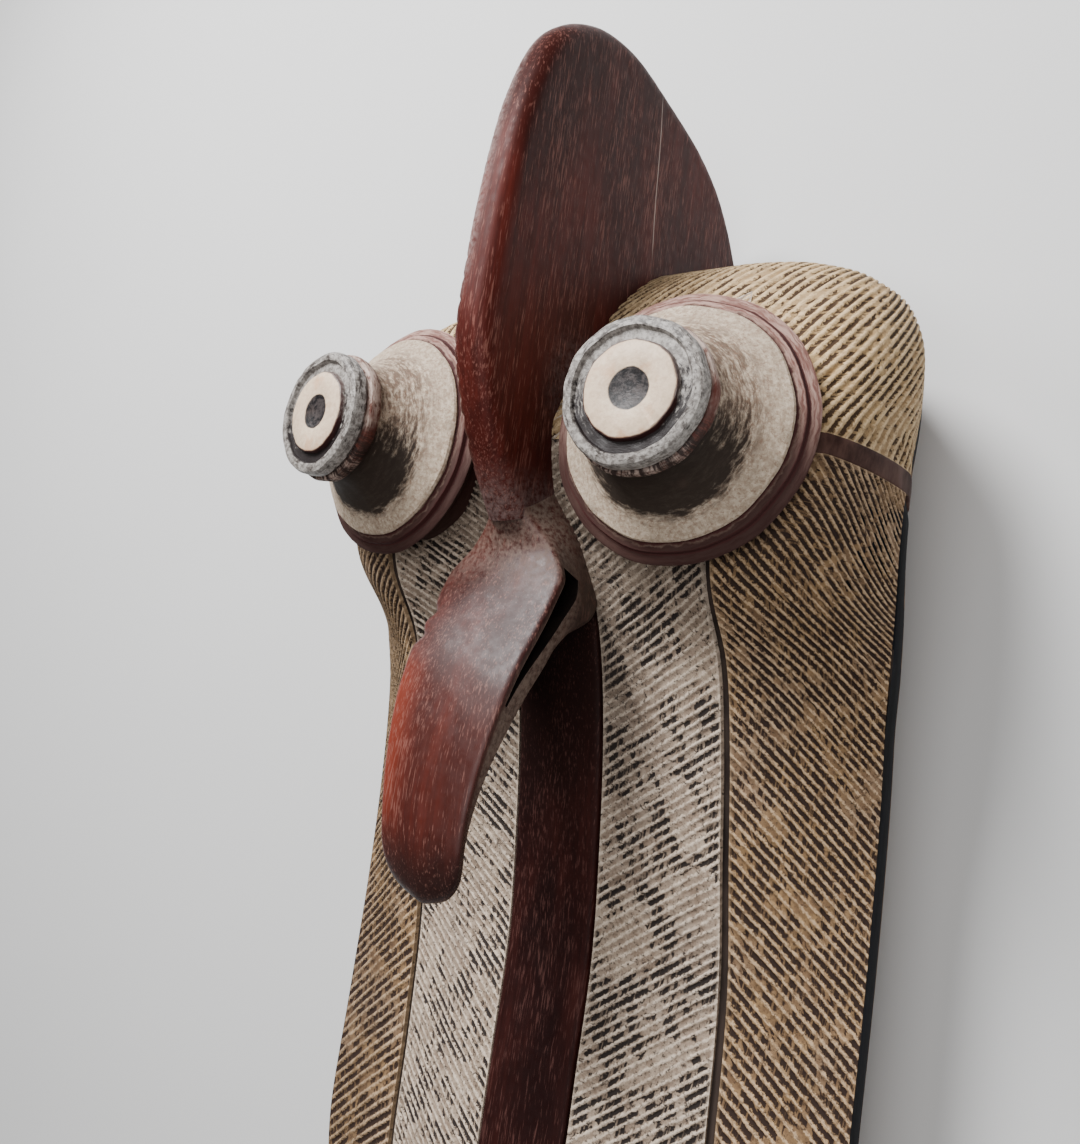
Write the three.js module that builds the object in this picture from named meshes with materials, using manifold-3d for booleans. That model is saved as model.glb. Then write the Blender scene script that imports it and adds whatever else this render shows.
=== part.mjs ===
import * as THREE from 'three';
import { mergeVertices } from 'three/addons/utils/BufferGeometryUtils.js';
import Module from 'manifold-3d';

const wasm = await Module();
wasm.setup();

// A carved wooden kifwebe mask, lying on its hollow back with the face up, in millimetres.
// The carving is described face on: X across the face, Y from the chin to the crown with 0 at
// the eye line, Z out of the face with 0 at the level of the long side corners.
// The last step lays it down on its rim.

// The carved shell
const cheekHalfWidth = 120;
const templeSpread = 3;
const templeHalfWidth = cheekHalfWidth + templeSpread;
const crownRise = 77;
const chinDrop = 408;
const chinTaperLength = 120;
const chinRoundness = 2.5;
const crownRoundness = 3.35;
const wall = 15;

// The rim plane leans so that the head is deeper than the chin
const rimDepthAtChin = 38;
const rimDepthAtCrown = 92;

// A side wall drops straight behind the corner for a short run and then leans inward
const sideLean = THREE.MathUtils.degToRad(22);
const cheekCornerRun = 16;
const templeCornerRun = 5;

// Heights of the face at its middle, at the incised line and at the side corner, as shares of
// the brow's, each row at its share of the way from the eye line down to the chin
const browHeight = 54;
const faceStations = [
  { down: 0, middle: 1, line: 1, corner: 0.06 },
  { down: 0.08, middle: 0.85, line: 0.96, corner: 0.09 },
  { down: 0.14, middle: 0.69, line: 0.89, corner: 0.09 },
  { down: 0.2, middle: 0.54, line: 0.63, corner: 0.04 },
  { down: 0.275, middle: 0.44, line: 0.5, corner: -0.02 },
  { down: 0.37, middle: 0.39, line: 0.41, corner: -0.01 },
  { down: 0.49, middle: 0.39, line: 0.3, corner: 0.06 },
  { down: 0.61, middle: 0.51, line: 0.34, corner: 0.17 },
  { down: 0.76, middle: 0.62, line: 0.44, corner: 0.31 },
  { down: 0.9, middle: 0.5, line: 0.41, corner: 0.31 },
  { down: 1, middle: 0.2, line: 0.2, corner: 0.2 },
];

// The dome of the head above the eye line
const domeHeight = 54;
const domeFall = 1.5;
const domeBackLean = 0.36;
const domeSquarenessAtEyes = 14;
const domeSquarenessAtTop = 8;

// Places on the face where one law of form gives way to the next, below the eye line
const templeBlendStart = -45;
const templeBlendEnd = 8;
const widthBlendStart = -110;
const widthBlendEnd = -50;
const cheekBlendStart = -95;
const cheekBlendEnd = -5;
const reliefEndStart = -60;
const reliefEnd = -20;
const cheekFullness = 1.35;
const templeFullness = 5;

// The smooth band down the middle and the incised lines either side of it
const bandHalfWidth = 19.5;
const bandRise = 1.5;
const bandBevel = 1.2;
const lineFromMiddle = 74;
const lineHalfWidth = 1.6;
const lineDepth = 2;

// Telescopic eyes
const eyeFromMiddle = 71;
const eyeFrontHeight = 99;
const eyeTurnOut = THREE.MathUtils.degToRad(7.2);
const eyeTurnUp = THREE.MathUtils.degToRad(6.5);
const irisRadius = 16;
const recessRadius = 20;
const recessDepth = 3;
const eyeRadius = 24.5;
const eyeRimLength = 6.5;
const collarRadius = 25.6;
const collarLength = 5.5;
const neckRadius = 23.5;
const lipRadius = 40.5;
const innerFlangeRadius = 44;
const flangeRadius = 47.5;
const flangeFromFront = 38;
const flangeStep = 3;
const flangeUndercut = 9;
const eyeRootLength = 26;
const eyeChamfer = 0.9;
const rimBehindIris = 0.6;
const collarGroove = 1.2;
const neckStep = 2;
const neckFlare = 1.7;

// The crest, a thick blade over the middle of the head
const crestHalfThickness = 8.5;
const crestSoftness = 6;
const crestTop = 159;
const crestFoot = -38;
const crestFront = 96;
const crestBack = -88;
const crestRootBelowCrown = 45;

// The crest's edge from its foot between the eyes, up over the crown and down behind the head,
// as shares of its height and of its reach from back to front
const crestEdge = [
  [0, 0.86],
  [0.11, 0.93],
  [0.23, 0.98],
  [0.33, 1],
  [0.46, 0.985],
  [0.62, 0.955],
  [0.79, 0.905],
  [0.925, 0.825],
  [0.99, 0.7],
  [0.995, 0.56],
  [0.955, 0.42],
  [0.9, 0.27],
  [0.82, 0.15],
  [0.7, 0.06],
  [0.56, 0],
];

// The hooked nose
const noseStart = -34;
const noseLength = 138;
const noseBridgeHeight = 65;
const noseReach = 37.5;
const noseBridgeHalfWidth = 9;
const noseHalfWidth = 27;
const noseTipHalfWidth = 18;
const noseBulge = 3;
const noseRootThickness = 38;
const noseMiddleThickness = 17;
const noseTipThickness = 6;
const noseBackTaper = 0.12;
const noseTipRoundness = 2.2;

// The tapering slit behind the edge of the nose's face, with what is left of it at its lower end
const slitWidth = 9;
const slitDepth = 11;
const slitBehindFace = 3;
const slitEndWidth = 0.12;
const slitEndDepth = 0.4;

// Stretches of the nose, as shares of its length
const noseShoulders = { from: 0, to: 0.17 };
const noseNarrowing = { from: 0.25, to: 1 };
const noseRootStretch = { from: 0.05, to: 0.3 };
const noseThinning = { from: 0.3, to: 0.9 };
const noseTipLength = 0.14;
const slitStretch = { from: 0.12, to: 0.7 };

// The middle of the nose's front, as shares of its length down and its reach forward
const noseFront = [
  [0, 0.12],
  [0.1, 0],
  [0.23, 0.24],
  [0.41, 0.66],
  [0.62, 0.92],
  [0.84, 1],
  [1, 0.86],
];

// The mouth, a rounded box with a slot
const mouthBelowEyes = 306;
const mouthHalfWidth = 38;
const mouthHalfHeight = 22;
const mouthCornerRadius = 13;
const mouthFront = 60;
const mouthSoftness = 5;
const slotHalfWidth = 26;
const slotHalfHeight = 5.5;
const slotDepth = 12;

// Fineness of the facets
const faceRows = 38;
const innerColumns = [0, 0.35, 0.7];
const outerColumns = [0, 0.22, 0.42, 0.6, 0.75, 0.86, 0.94, 1];
const wallRows = 3;
const hollowColumns = 14;
const hollowRows = 18;
const eyeSides = 26;
const neckRings = [0, 0.3, 0.6, 0.85, 1];
const crestPoints = 30;
const edgeSegments = 2;
const noseColumns = 8;
const noseRows = 18;
const noseLayers = 3;
const slitRows = 10;
const cornerSegments = 4;

// The grids end just inside the outline's two ends, where its width would be nothing
const gridShare = 0.995;

// Corners nearer than this are one corner
const weldDistance = 1e-4;

const { clamp, lerp, smoothstep } = THREE.MathUtils;

// A smooth curve through [place, value] pairs in rising order of place
function through(pairs) {
  const curve = pairs.map(([place, value]) => ({ place, value }));
  const last = curve.length - 1;
  const slopes = curve.map((point, i) => {
    const before = curve[Math.max(i - 1, 0)];
    const after = curve[Math.min(i + 1, last)];
    return (after.value - before.value) / (after.place - before.place);
  });
  return (place) => {
    const at = clamp(place, curve[0].place, curve[last].place);
    let i = 0;
    while (i < last - 1 && curve[i + 1].place < at) i += 1;
    const span = curve[i + 1].place - curve[i].place;
    const t = (at - curve[i].place) / span;
    const rise = span * slopes[i] * t * (1 - t) ** 2;
    const fall = span * slopes[i + 1] * t ** 2 * (1 - t);
    return lerp(curve[i].value, curve[i + 1].value, t ** 2 * (3 - 2 * t)) + rise - fall;
  };
}

const middleHeight = through(faceStations.map((station) => [station.down, browHeight * station.middle]));
const lineHeight = through(faceStations.map((station) => [station.down, browHeight * station.line]));
const cornerHeight = through(faceStations.map((station) => [station.down, browHeight * station.corner]));

// 1 at the middle of a rounded end, falling to 0 at the end itself
function roundedEnd(share, roundness) {
  return (1 - clamp(share, 0, 1) ** roundness) ** (1 / roundness);
}

function halfWidth(y) {
  const full = lerp(cheekHalfWidth, templeHalfWidth, smoothstep(y, widthBlendStart, widthBlendEnd));
  const crown = roundedEnd(y / crownRise, crownRoundness);
  const chin = roundedEnd(1 - (y + chinDrop) / chinTaperLength, chinRoundness);
  return full * crown * chin;
}

// How much narrower the face's strips are where its outline draws in
function narrowing(y) {
  return Math.min(1, halfWidth(y) / cheekHalfWidth);
}

function faceHeight(x, y) {
  const across = Math.abs(x);
  const width = halfWidth(y);
  const line = lineFromMiddle * narrowing(y);
  const down = -y / chinDrop;
  const inner = lerp(middleHeight(down), lineHeight(down), Math.min(across / line, 1) ** 2);
  const outward = clamp((across - line) / (width - line), 0, 1);
  const fullness = lerp(cheekFullness, templeFullness, smoothstep(y, cheekBlendStart, cheekBlendEnd));
  const face = lerp(inner, cornerHeight(down), outward ** fullness);

  const up = clamp(y / crownRise, 0, 1);
  const squareness = lerp(domeSquarenessAtEyes, domeSquarenessAtTop, up);
  const roof = domeHeight * Math.sqrt(1 - up ** domeFall);
  const section = Math.sqrt(Math.max(1 - (across / width) ** squareness, 0));
  const dome = roof * section - domeBackLean * Math.max(y, 0);
  return lerp(face, dome, smoothstep(y, templeBlendStart, templeBlendEnd));
}

// The grid's columns from the middle to the side corner, with the relief that each one carries
function faceColumns(y) {
  const narrow = narrowing(y);
  const band = bandHalfWidth * narrow;
  const foot = (bandHalfWidth + bandBevel) * narrow;
  const line = lineFromMiddle * narrow;
  const groove = lineHalfWidth * narrow;
  const relief = 1 - smoothstep(y, reliefEndStart, reliefEnd);
  const columns = [0, band / 2, band].map((x) => ({ x, rise: bandRise * relief }));
  for (const share of innerColumns) columns.push({ x: lerp(foot, line - groove, share), rise: 0 });
  columns.push({ x: line - groove, rise: 0 }, { x: line, rise: -lineDepth * relief });
  for (const share of outerColumns) {
    columns.push({ x: lerp(line + groove, halfWidth(y), share), rise: 0 });
  }
  return columns;
}

// The hollow follows the face in broad steps
function hollowColumnsAt(y) {
  const half = hollowColumns / 2;
  const columns = [];
  for (let i = 0; i <= half; i += 1) {
    columns.push({ x: halfWidth(y) * Math.sin((i / half) * Math.PI / 2), rise: 0 });
  }
  return columns;
}

function rimLevel(y) {
  return -lerp(rimDepthAtChin, rimDepthAtCrown, (y + chinDrop) / (chinDrop + crownRise));
}

// How far a side wall has come inward at a depth behind the corner
function wallInset(depth, y) {
  const run = lerp(cheekCornerRun, templeCornerRun, smoothstep(y, cheekBlendStart, cheekBlendEnd));
  return Math.tan(sideLean) * (Math.hypot(depth, run) - run);
}

// A closed solid from any closed three.js geometry
function solid(geometry) {
  geometry.deleteAttribute('normal');
  geometry.deleteAttribute('uv');
  const merged = mergeVertices(geometry, weldDistance);
  const corners = merged.index.array;
  const triVerts = [];
  for (let i = 0; i < corners.length; i += 3) {
    const [a, b, c] = corners.slice(i, i + 3);
    if (a !== b && b !== c && c !== a) triVerts.push(a, b, c);
  }
  return new wasm.Manifold(new wasm.Mesh({
    numProp: 3,
    vertProperties: Float32Array.from(merged.attributes.position.array),
    triVerts: Uint32Array.from(triVerts),
  }));
}

// A closed solid from a box whose grid points, each from -1 to 1, are placed by a rule
function shapedBox(columns, rows, layers, rule) {
  const box = new THREE.BoxGeometry(2, 2, 2, columns, rows, layers);
  const places = box.attributes.position;
  for (let i = 0; i < places.count; i += 1) {
    const { x, y, z } = rule(places.getX(i), places.getY(i), places.getZ(i));
    places.setXYZ(i, x, y, z);
  }
  return solid(box);
}

// The shell, or the hollow that lies a wall's thickness inside it
function shell(columnsAt, rows, inset) {
  const top = crownRise * gridShare;
  const bottom = -chinDrop * gridShare;
  const middle = (top + bottom) / 2;
  const halfLength = (top - bottom) / 2;
  const half = columnsAt(0).length - 1;
  return shapedBox(2 * half, rows, wallRows, (u, v, w) => {
    const y = middle + halfLength * Math.sin(v * Math.PI / 2);
    const column = columnsAt(y)[Math.round(Math.abs(u) * half)];
    const face = faceHeight(column.x, y) + column.rise - inset;
    const back = rimLevel(y) - wall;
    const depth = (face - back) * (1 - w) / 2;
    const inward = wallInset(depth, y) + inset;
    return {
      x: Math.sign(u) * column.x * (1 - inward / templeHalfWidth),
      y: middle + (y - middle) * (1 - inward / halfLength),
      z: face - depth,
    };
  });
}

// An eye turned in one piece: iris, recess, rounded rim, collar, flaring neck and stepped flange
function eye(side) {
  const collar = eyeRimLength + collarLength / 2;
  const neck = eyeRimLength + collarLength + neckStep;
  const lip = flangeFromFront - flangeStep;
  const outerFlange = flangeFromFront + flangeStep;
  const flangeBack = outerFlange + eyeChamfer + flangeUndercut;
  const flare = (share) => lerp(neckRadius, lipRadius, share ** neckFlare);
  const profile = [
    [0, 0],
    [irisRadius, 0],
    [irisRadius + eyeChamfer, recessDepth],
    [recessRadius, recessDepth],
    [recessRadius + eyeChamfer, rimBehindIris],
    [eyeRadius - 2 * eyeChamfer, rimBehindIris],
    [eyeRadius, rimBehindIris + 2 * eyeChamfer],
    [eyeRadius, eyeRimLength],
    [eyeRadius - collarGroove, eyeRimLength + eyeChamfer],
    [collarRadius, collar],
    [collarRadius - eyeChamfer, eyeRimLength + collarLength],
    ...neckRings.map((share) => [flare(share), lerp(neck, lip, share)]),
    [lipRadius, flangeFromFront - eyeChamfer],
    [innerFlangeRadius - eyeChamfer, flangeFromFront],
    [innerFlangeRadius, outerFlange - eyeChamfer],
    [flangeRadius - eyeChamfer, outerFlange],
    [flangeRadius, outerFlange + eyeChamfer],
    [flangeRadius - flangeUndercut, flangeBack],
    [flangeRadius - flangeUndercut, flangeFromFront + eyeRootLength],
    [0, flangeFromFront + eyeRootLength],
  ];
  const points = profile.reverse().map(([radius, behind]) => new THREE.Vector2(radius, -behind));
  const turned = new THREE.LatheGeometry(points, eyeSides);
  const direction = new THREE.Vector3(
    side * Math.sin(eyeTurnOut) * Math.cos(eyeTurnUp),
    Math.sin(eyeTurnUp),
    Math.cos(eyeTurnOut) * Math.cos(eyeTurnUp),
  );
  turned.applyQuaternion(new THREE.Quaternion().setFromUnitVectors(new THREE.Vector3(0, 1, 0), direction));
  turned.translate(side * eyeFromMiddle, 0, eyeFrontHeight);
  return solid(turned);
}

// The crest, closed inside the head, where the hollow later cuts it back
function crest() {
  const edge = crestEdge.map(([up, forward]) => (
    new THREE.Vector2(lerp(crestFoot, crestTop, up), lerp(crestBack, crestFront, forward))
  ));
  const outline = new THREE.Shape(new THREE.SplineCurve(edge).getPoints(crestPoints));
  outline.lineTo(crownRise - crestRootBelowCrown, crestBack);
  outline.lineTo(crestFoot, 0);
  outline.closePath();
  const depth = 2 * (crestHalfThickness - crestSoftness);
  const blade = new THREE.ExtrudeGeometry(outline, {
    depth,
    steps: 1,
    bevelThickness: crestSoftness,
    bevelSize: crestSoftness,
    bevelOffset: -crestSoftness,
    bevelSegments: edgeSegments,
  });
  blade.translate(0, 0, -depth / 2);
  // The outline's first axis is up the face, its second is out of it and the thickness is across
  blade.applyMatrix4(new THREE.Matrix4().makeBasis(
    new THREE.Vector3(0, 1, 0),
    new THREE.Vector3(0, 0, 1),
    new THREE.Vector3(1, 0, 0),
  ));
  return solid(blade);
}

const noseLine = new THREE.CatmullRomCurve3(noseFront.map(([down, out]) => (
  new THREE.Vector3(0, noseStart - noseLength * down, noseBridgeHeight + noseReach * out)
)));

// A smooth step along a stretch of the nose, from 0 where it starts to 1 where it ends
function along(share, stretch) {
  return smoothstep(share, stretch.from, stretch.to);
}

function noseHalfWidthAt(share) {
  const shoulders = lerp(noseBridgeHalfWidth, noseHalfWidth, along(share, noseShoulders));
  const body = lerp(shoulders, noseTipHalfWidth, along(share, noseNarrowing));
  const intoTip = (share - (1 - noseTipLength)) / noseTipLength;
  return body * roundedEnd(intoTip * gridShare, noseTipRoundness);
}

function noseThicknessAt(share) {
  const root = lerp(noseRootThickness, noseMiddleThickness, along(share, noseRootStretch));
  return lerp(root, noseTipThickness, along(share, noseThinning));
}

// A point of the nose: share from bridge to tip, u across and a depth behind its front
function nosePoint(share, u, depth) {
  const place = noseLine.getPointAt(share);
  const tangent = noseLine.getTangentAt(share);
  const outward = { y: tangent.z, z: -tangent.y };
  const forward = -noseBulge * Math.min(u * u, 1) - depth;
  return {
    x: u * noseHalfWidthAt(share),
    y: place.y + outward.y * forward,
    z: place.z + outward.z * forward,
  };
}

function nose() {
  return shapedBox(noseColumns, noseRows, noseLayers, (u, v, w) => {
    const share = (1 - v) / 2;
    const behind = (1 - w) / 2;
    return nosePoint(share, u * (1 - noseBackTaper * behind), noseThicknessAt(share) * behind);
  });
}

// The cutter for one slit, from its floor to well clear of the nose's side
function noseSlit(side) {
  const clearOfSide = 1.3;
  return shapedBox(1, slitRows, 1, (u, v, w) => {
    const closing = (1 - v) / 2;
    const share = lerp(slitStretch.from, slitStretch.to, closing);
    const width = slitWidth * lerp(1, slitEndWidth, closing);
    const depth = slitDepth * lerp(1, slitEndDepth, closing);
    const floor = 1 - depth / noseHalfWidthAt(share);
    const across = lerp(floor, clearOfSide, (side * u + 1) / 2);
    return nosePoint(share, side * across, slitBehindFace + width * (1 - w) / 2);
  });
}

// A block with rounded corners, its front face at a height
function roundedBlock(halfAcross, halfUp, radius, depth, softness, front) {
  const outline = new THREE.Shape();
  const corners = [[1, 1], [-1, 1], [-1, -1], [1, -1]];
  corners.forEach(([right, up], quarter) => {
    const start = quarter * Math.PI / 2;
    const x = right * (halfAcross - radius);
    const y = up * (halfUp - radius);
    outline.absarc(x, y, radius, start, start + Math.PI / 2, false);
  });
  const block = new THREE.ExtrudeGeometry(outline, {
    depth: depth - 2 * softness,
    steps: 1,
    curveSegments: cornerSegments,
    bevelEnabled: softness > 0,
    bevelThickness: softness,
    bevelSize: softness,
    bevelOffset: -softness,
    bevelSegments: edgeSegments,
  });
  block.translate(0, -mouthBelowEyes, front - depth + softness);
  return solid(block);
}

function mask() {
  const outer = shell(faceColumns, faceRows, 0);
  const hollow = shell(hollowColumnsAt, hollowRows, wall);
  const lips = roundedBlock(
    mouthHalfWidth, mouthHalfHeight, mouthCornerRadius, mouthFront, mouthSoftness, mouthFront,
  );
  const slot = roundedBlock(
    slotHalfWidth, slotHalfHeight, slotHalfHeight, 2 * slotDepth, 0, mouthFront + slotDepth,
  );
  const added = [crest(), nose(), eye(-1), eye(1), lips];
  const removed = [noseSlit(-1), noseSlit(1), slot, hollow];
  const whole = added.reduce((carving, piece) => carving.add(piece), outer);
  return removed.reduce((carving, piece) => carving.subtract(piece), whole);
}

// Turns the carving onto its rim plane and cuts the rim flat
function laidDown(carving) {
  const length = chinDrop + crownRise;
  const lean = Math.atan2(rimDepthAtCrown - rimDepthAtChin, length);
  const turn = new THREE.Matrix4().makeRotationX(lean);
  const chinRim = new THREE.Vector3(0, -chinDrop, -rimDepthAtChin).applyMatrix4(turn);
  const lift = new THREE.Matrix4().makeTranslation(0, 0, -chinRim.z);
  const laid = carving.transform(lift.multiply(turn).elements);
  const size = 4 * length;
  const below = new THREE.BoxGeometry(size, size, size);
  below.translate(0, 0, -size / 2);
  return laid.subtract(solid(below));
}

function geometryOf(body) {
  const mesh = body.getMesh();
  const geometry = new THREE.BufferGeometry();
  geometry.setAttribute('position', new THREE.BufferAttribute(mesh.vertProperties, 3));
  geometry.setIndex(new THREE.BufferAttribute(mesh.triVerts, 1));
  return geometry;
}

// The origin is on the ground under the middle of the mask
const geometry = geometryOf(laidDown(mask()));
geometry.computeBoundingBox();
const { min, max } = geometry.boundingBox;
geometry.translate(0, -(min.y + max.y) / 2, 0);

const paintedWood = new THREE.MeshStandardMaterial({ color: 0xb08a5a, roughness: 0.7, metalness: 0 });
const carving = new THREE.Mesh(geometry, paintedWood);
carving.name = 'mask';

const object = new THREE.Group();
object.add(carving);

export default object;
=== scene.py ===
# %% [markdown]
# A kifwebe mask is one block of light wood: a long face with a domed head, a blade of a crest,
# two eyes on stalks, a hooked nose and a box of a mouth, combed all over with fine grooves.
# Its solid comes ready made as the frame. This lesson dresses it: each carved part is made again
# at full fineness in the same place, and then painted, waxed and worn.

import math

import bmesh
import bpy
import numpy as np
from mathutils import Matrix, Quaternion, Vector


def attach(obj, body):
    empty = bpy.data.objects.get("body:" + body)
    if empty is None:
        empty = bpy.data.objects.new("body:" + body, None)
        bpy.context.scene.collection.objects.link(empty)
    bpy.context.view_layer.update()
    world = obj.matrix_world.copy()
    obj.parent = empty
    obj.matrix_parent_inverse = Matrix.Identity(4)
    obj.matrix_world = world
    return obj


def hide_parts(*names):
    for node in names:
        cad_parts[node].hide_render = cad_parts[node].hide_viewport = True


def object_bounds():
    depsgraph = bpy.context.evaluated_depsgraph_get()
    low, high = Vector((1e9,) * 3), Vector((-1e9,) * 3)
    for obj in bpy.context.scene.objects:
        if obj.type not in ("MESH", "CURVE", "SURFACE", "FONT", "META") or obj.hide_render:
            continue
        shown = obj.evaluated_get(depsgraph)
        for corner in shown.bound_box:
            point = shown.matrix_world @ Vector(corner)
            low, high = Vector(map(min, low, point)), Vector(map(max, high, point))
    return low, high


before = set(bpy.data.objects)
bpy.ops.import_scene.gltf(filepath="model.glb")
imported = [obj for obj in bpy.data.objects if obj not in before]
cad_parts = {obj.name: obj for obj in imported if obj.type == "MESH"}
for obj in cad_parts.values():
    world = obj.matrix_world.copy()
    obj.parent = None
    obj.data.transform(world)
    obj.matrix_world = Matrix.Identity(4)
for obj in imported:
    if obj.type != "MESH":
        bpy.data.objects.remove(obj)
cad_low, cad_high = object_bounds()
print("the solid measures", [round(side, 4) for side in cad_high - cad_low], "metres")

# %% [markdown]
# The carver works face on, so the face is described upright: x across it, y up from the chin to
# the crown with 0 at the eye line, and z out of it with 0 at the long side corners.
# These are the same sizes and curves as the solid's, in millimetres. Turning the mask
# onto its rim comes last, in lay_down.

# %% The carver's sizes, in millimetres
MM = 0.001
sides = ((1, "right"), (-1, "left"))
cheek_half_width = 120
temple_half_width = cheek_half_width + 3
crown_rise = 77
chin_drop = 408
chin_taper_length = 120
chin_roundness = 2.5
crown_roundness = 3.35
wall = 15
rim_depth_at_chin = 38
rim_depth_at_crown = 92
side_lean = math.radians(22)
cheek_corner_run = 16
temple_corner_run = 5

dome_height = 54
dome_fall = 1.5
dome_back_lean = 0.36
dome_squareness_at_eyes = 14
dome_squareness_at_top = 8
temple_blend = (-45, 8)
width_blend = (-110, -50)
cheek_blend = (-95, -5)
cheek_fullness = 1.35
temple_fullness = 5

band_half_width = 19.5
band_rise = 1.5
line_from_middle = 74
line_half_width = 1.7

# Share of the way down from the eye line, then the height at the middle, the line and the
# corner, as shares of the brow's height
brow_height = 54
face_stations = np.array([
    (0, 1, 1, 0.06),
    (0.08, 0.85, 0.96, 0.09),
    (0.14, 0.69, 0.89, 0.09),
    (0.2, 0.54, 0.63, 0.04),
    (0.275, 0.44, 0.5, -0.02),
    (0.37, 0.39, 0.41, -0.01),
    (0.49, 0.39, 0.3, 0.06),
    (0.61, 0.51, 0.34, 0.17),
    (0.76, 0.62, 0.44, 0.31),
    (0.9, 0.5, 0.41, 0.31),
    (1, 0.2, 0.2, 0.2),
])
face_top = 0.995 * crown_rise
face_bottom = -0.995 * chin_drop


# %% The laws of the face
def between(start, end, share):
    return start + (end - start) * share


def ramp(value, start, end):
    share = np.clip((value - start) / (end - start), 0, 1)
    return share * share * (3 - 2 * share)


def through(places, values):
    """A smooth curve through the values at rising places."""
    last = len(places) - 1
    before = np.maximum(np.arange(last + 1) - 1, 0)
    after = np.minimum(np.arange(last + 1) + 1, last)
    slopes = (values[after] - values[before]) / (places[after] - places[before])

    def curve(place):
        at = np.clip(place, places[0], places[-1])
        i = np.clip(np.searchsorted(places, at) - 1, 0, last - 1)
        span = places[i + 1] - places[i]
        t = (at - places[i]) / span
        bend = span * t * (1 - t) * (slopes[i] * (1 - t) - slopes[i + 1] * t)
        return between(values[i], values[i + 1], t * t * (3 - 2 * t)) + bend

    return curve


middle_height, line_height, corner_height = (
    through(face_stations[:, 0], brow_height * face_stations[:, column]) for column in (1, 2, 3)
)


def rounded_end(share, roundness):
    return (1 - np.clip(share, 0, 1) ** roundness) ** (1 / roundness)


def half_width(y):
    full = between(cheek_half_width, temple_half_width, ramp(y, *width_blend))
    crown = rounded_end(y / crown_rise, crown_roundness)
    chin = rounded_end(1 - (y + chin_drop) / chin_taper_length, chin_roundness)
    return full * crown * chin


def narrowing(y):
    return np.minimum(1, half_width(y) / cheek_half_width)


def face_height(x, y):
    across = np.abs(x)
    width = np.maximum(half_width(y), 0.5)
    line = line_from_middle * narrowing(y)
    down = -y / chin_drop
    inner = between(middle_height(down), line_height(down), np.minimum(across / line, 1) ** 2)
    outward = np.clip((across - line) / (width - line), 0, 1)
    fullness = between(cheek_fullness, temple_fullness, ramp(y, *cheek_blend))
    face = between(inner, corner_height(down), outward ** fullness)
    up = np.clip(y / crown_rise, 0, 1)
    squareness = between(dome_squareness_at_eyes, dome_squareness_at_top, up)
    section = np.sqrt(np.maximum(1 - np.minimum(across / width, 1) ** squareness, 0))
    roof = dome_height * np.sqrt(1 - up ** dome_fall)
    dome = roof * section - dome_back_lean * np.maximum(y, 0)
    return between(face, dome, ramp(y, *temple_blend))


def rim_level(y):
    return -between(rim_depth_at_chin, rim_depth_at_crown, (y + chin_drop) / (chin_drop + crown_rise))


def wall_inset(depth, y):
    run = between(cheek_corner_run, temple_corner_run, ramp(y, *cheek_blend))
    return math.tan(side_lean) * (np.hypot(depth, run) - run)


def smooth_line(points, shares):
    """Points along a smooth line through the given ones, at shares of its way from 0 to 1."""
    points = np.array(points, float)
    last = len(points) - 1
    place = np.clip(shares, 0, 1) * last
    i = np.minimum(place.astype(int), last - 1)
    t = (place - i)[:, None]
    p0, p1, p2, p3 = (points[np.clip(i + k, 0, last)] for k in (-1, 0, 1, 2))
    bend = (p2 - p0) * t + (2 * p0 - 5 * p1 + 4 * p2 - p3) * t ** 2 + (3 * p1 - p0 - 3 * p2 + p3) * t ** 3
    return p1 + bend / 2


def evenly(points, count):
    """The same line as points at even distances, so that no stretch of it is coarser than another."""
    steps = np.linalg.norm(np.diff(points, axis=0), axis=1)
    run = np.concatenate([[0], np.cumsum(steps)])
    even = np.linspace(0, run[-1], count)
    return np.stack([np.interp(even, run, column) for column in points.T], axis=1)


print("the face is", 2 * float(half_width(np.array(0.0))), "mm wide at the eyes")

# %% [markdown]
# The mask lies on its rim, which leans because the head is deeper than the chin. One turn about
# the x axis and one lift lay any point of the face down. The crest's tip is the far end of the
# mask, so it fixes where the origin is along y.

# %% The crest's edge and the turn onto the rim
crest_half_thickness = 8.5
crest_top = 159
crest_foot = -38
crest_front = 96
crest_back = -88
crest_edge_shares = [
    (0, 0.86), (0.11, 0.93), (0.23, 0.98), (0.33, 1), (0.46, 0.985), (0.62, 0.955), (0.79, 0.905),
    (0.925, 0.825), (0.99, 0.7), (0.995, 0.56), (0.955, 0.42), (0.9, 0.27), (0.82, 0.15), (0.7, 0.06),
    (0.56, 0),
]
crest_edge_points = [
    (between(crest_foot, crest_top, up), between(crest_back, crest_front, forward))
    for up, forward in crest_edge_shares
]
rim_lean = math.atan2(rim_depth_at_crown - rim_depth_at_chin, chin_drop + crown_rise)


def turned(y, z):
    return y * math.cos(rim_lean) - z * math.sin(rim_lean), y * math.sin(rim_lean) + z * math.cos(rim_lean)


crest_run = smooth_line(crest_edge_points, np.linspace(0, 1, 400))
far_end = max(turned(*crest_run.T)[0])
lift = -turned(-chin_drop, -rim_depth_at_chin)[1]
slide = cad_high.y / MM - far_end


def lay_down(x, y, z):
    """Points of the upright face, in millimetres, as points of the lying mask, in metres."""
    laid_y, laid_z = turned(y, z)
    return np.stack([x, laid_y + slide, laid_z + lift], axis=-1) * MM


print("the rim leans", round(math.degrees(rim_lean), 2), "degrees and the face slides", round(slide, 2), "mm")

# %% [markdown]
# Most of the carving is free form, so each piece starts as a grid drawn up into a block
# of even cells, and then every corner of the block is set by a rule of the face.
# It keeps the mesh even and closed, which a sculpted or a cut mesh would not be.

# %% Blocks of cells
def leave_edit():
    bpy.ops.object.mode_set(mode="OBJECT")


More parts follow.
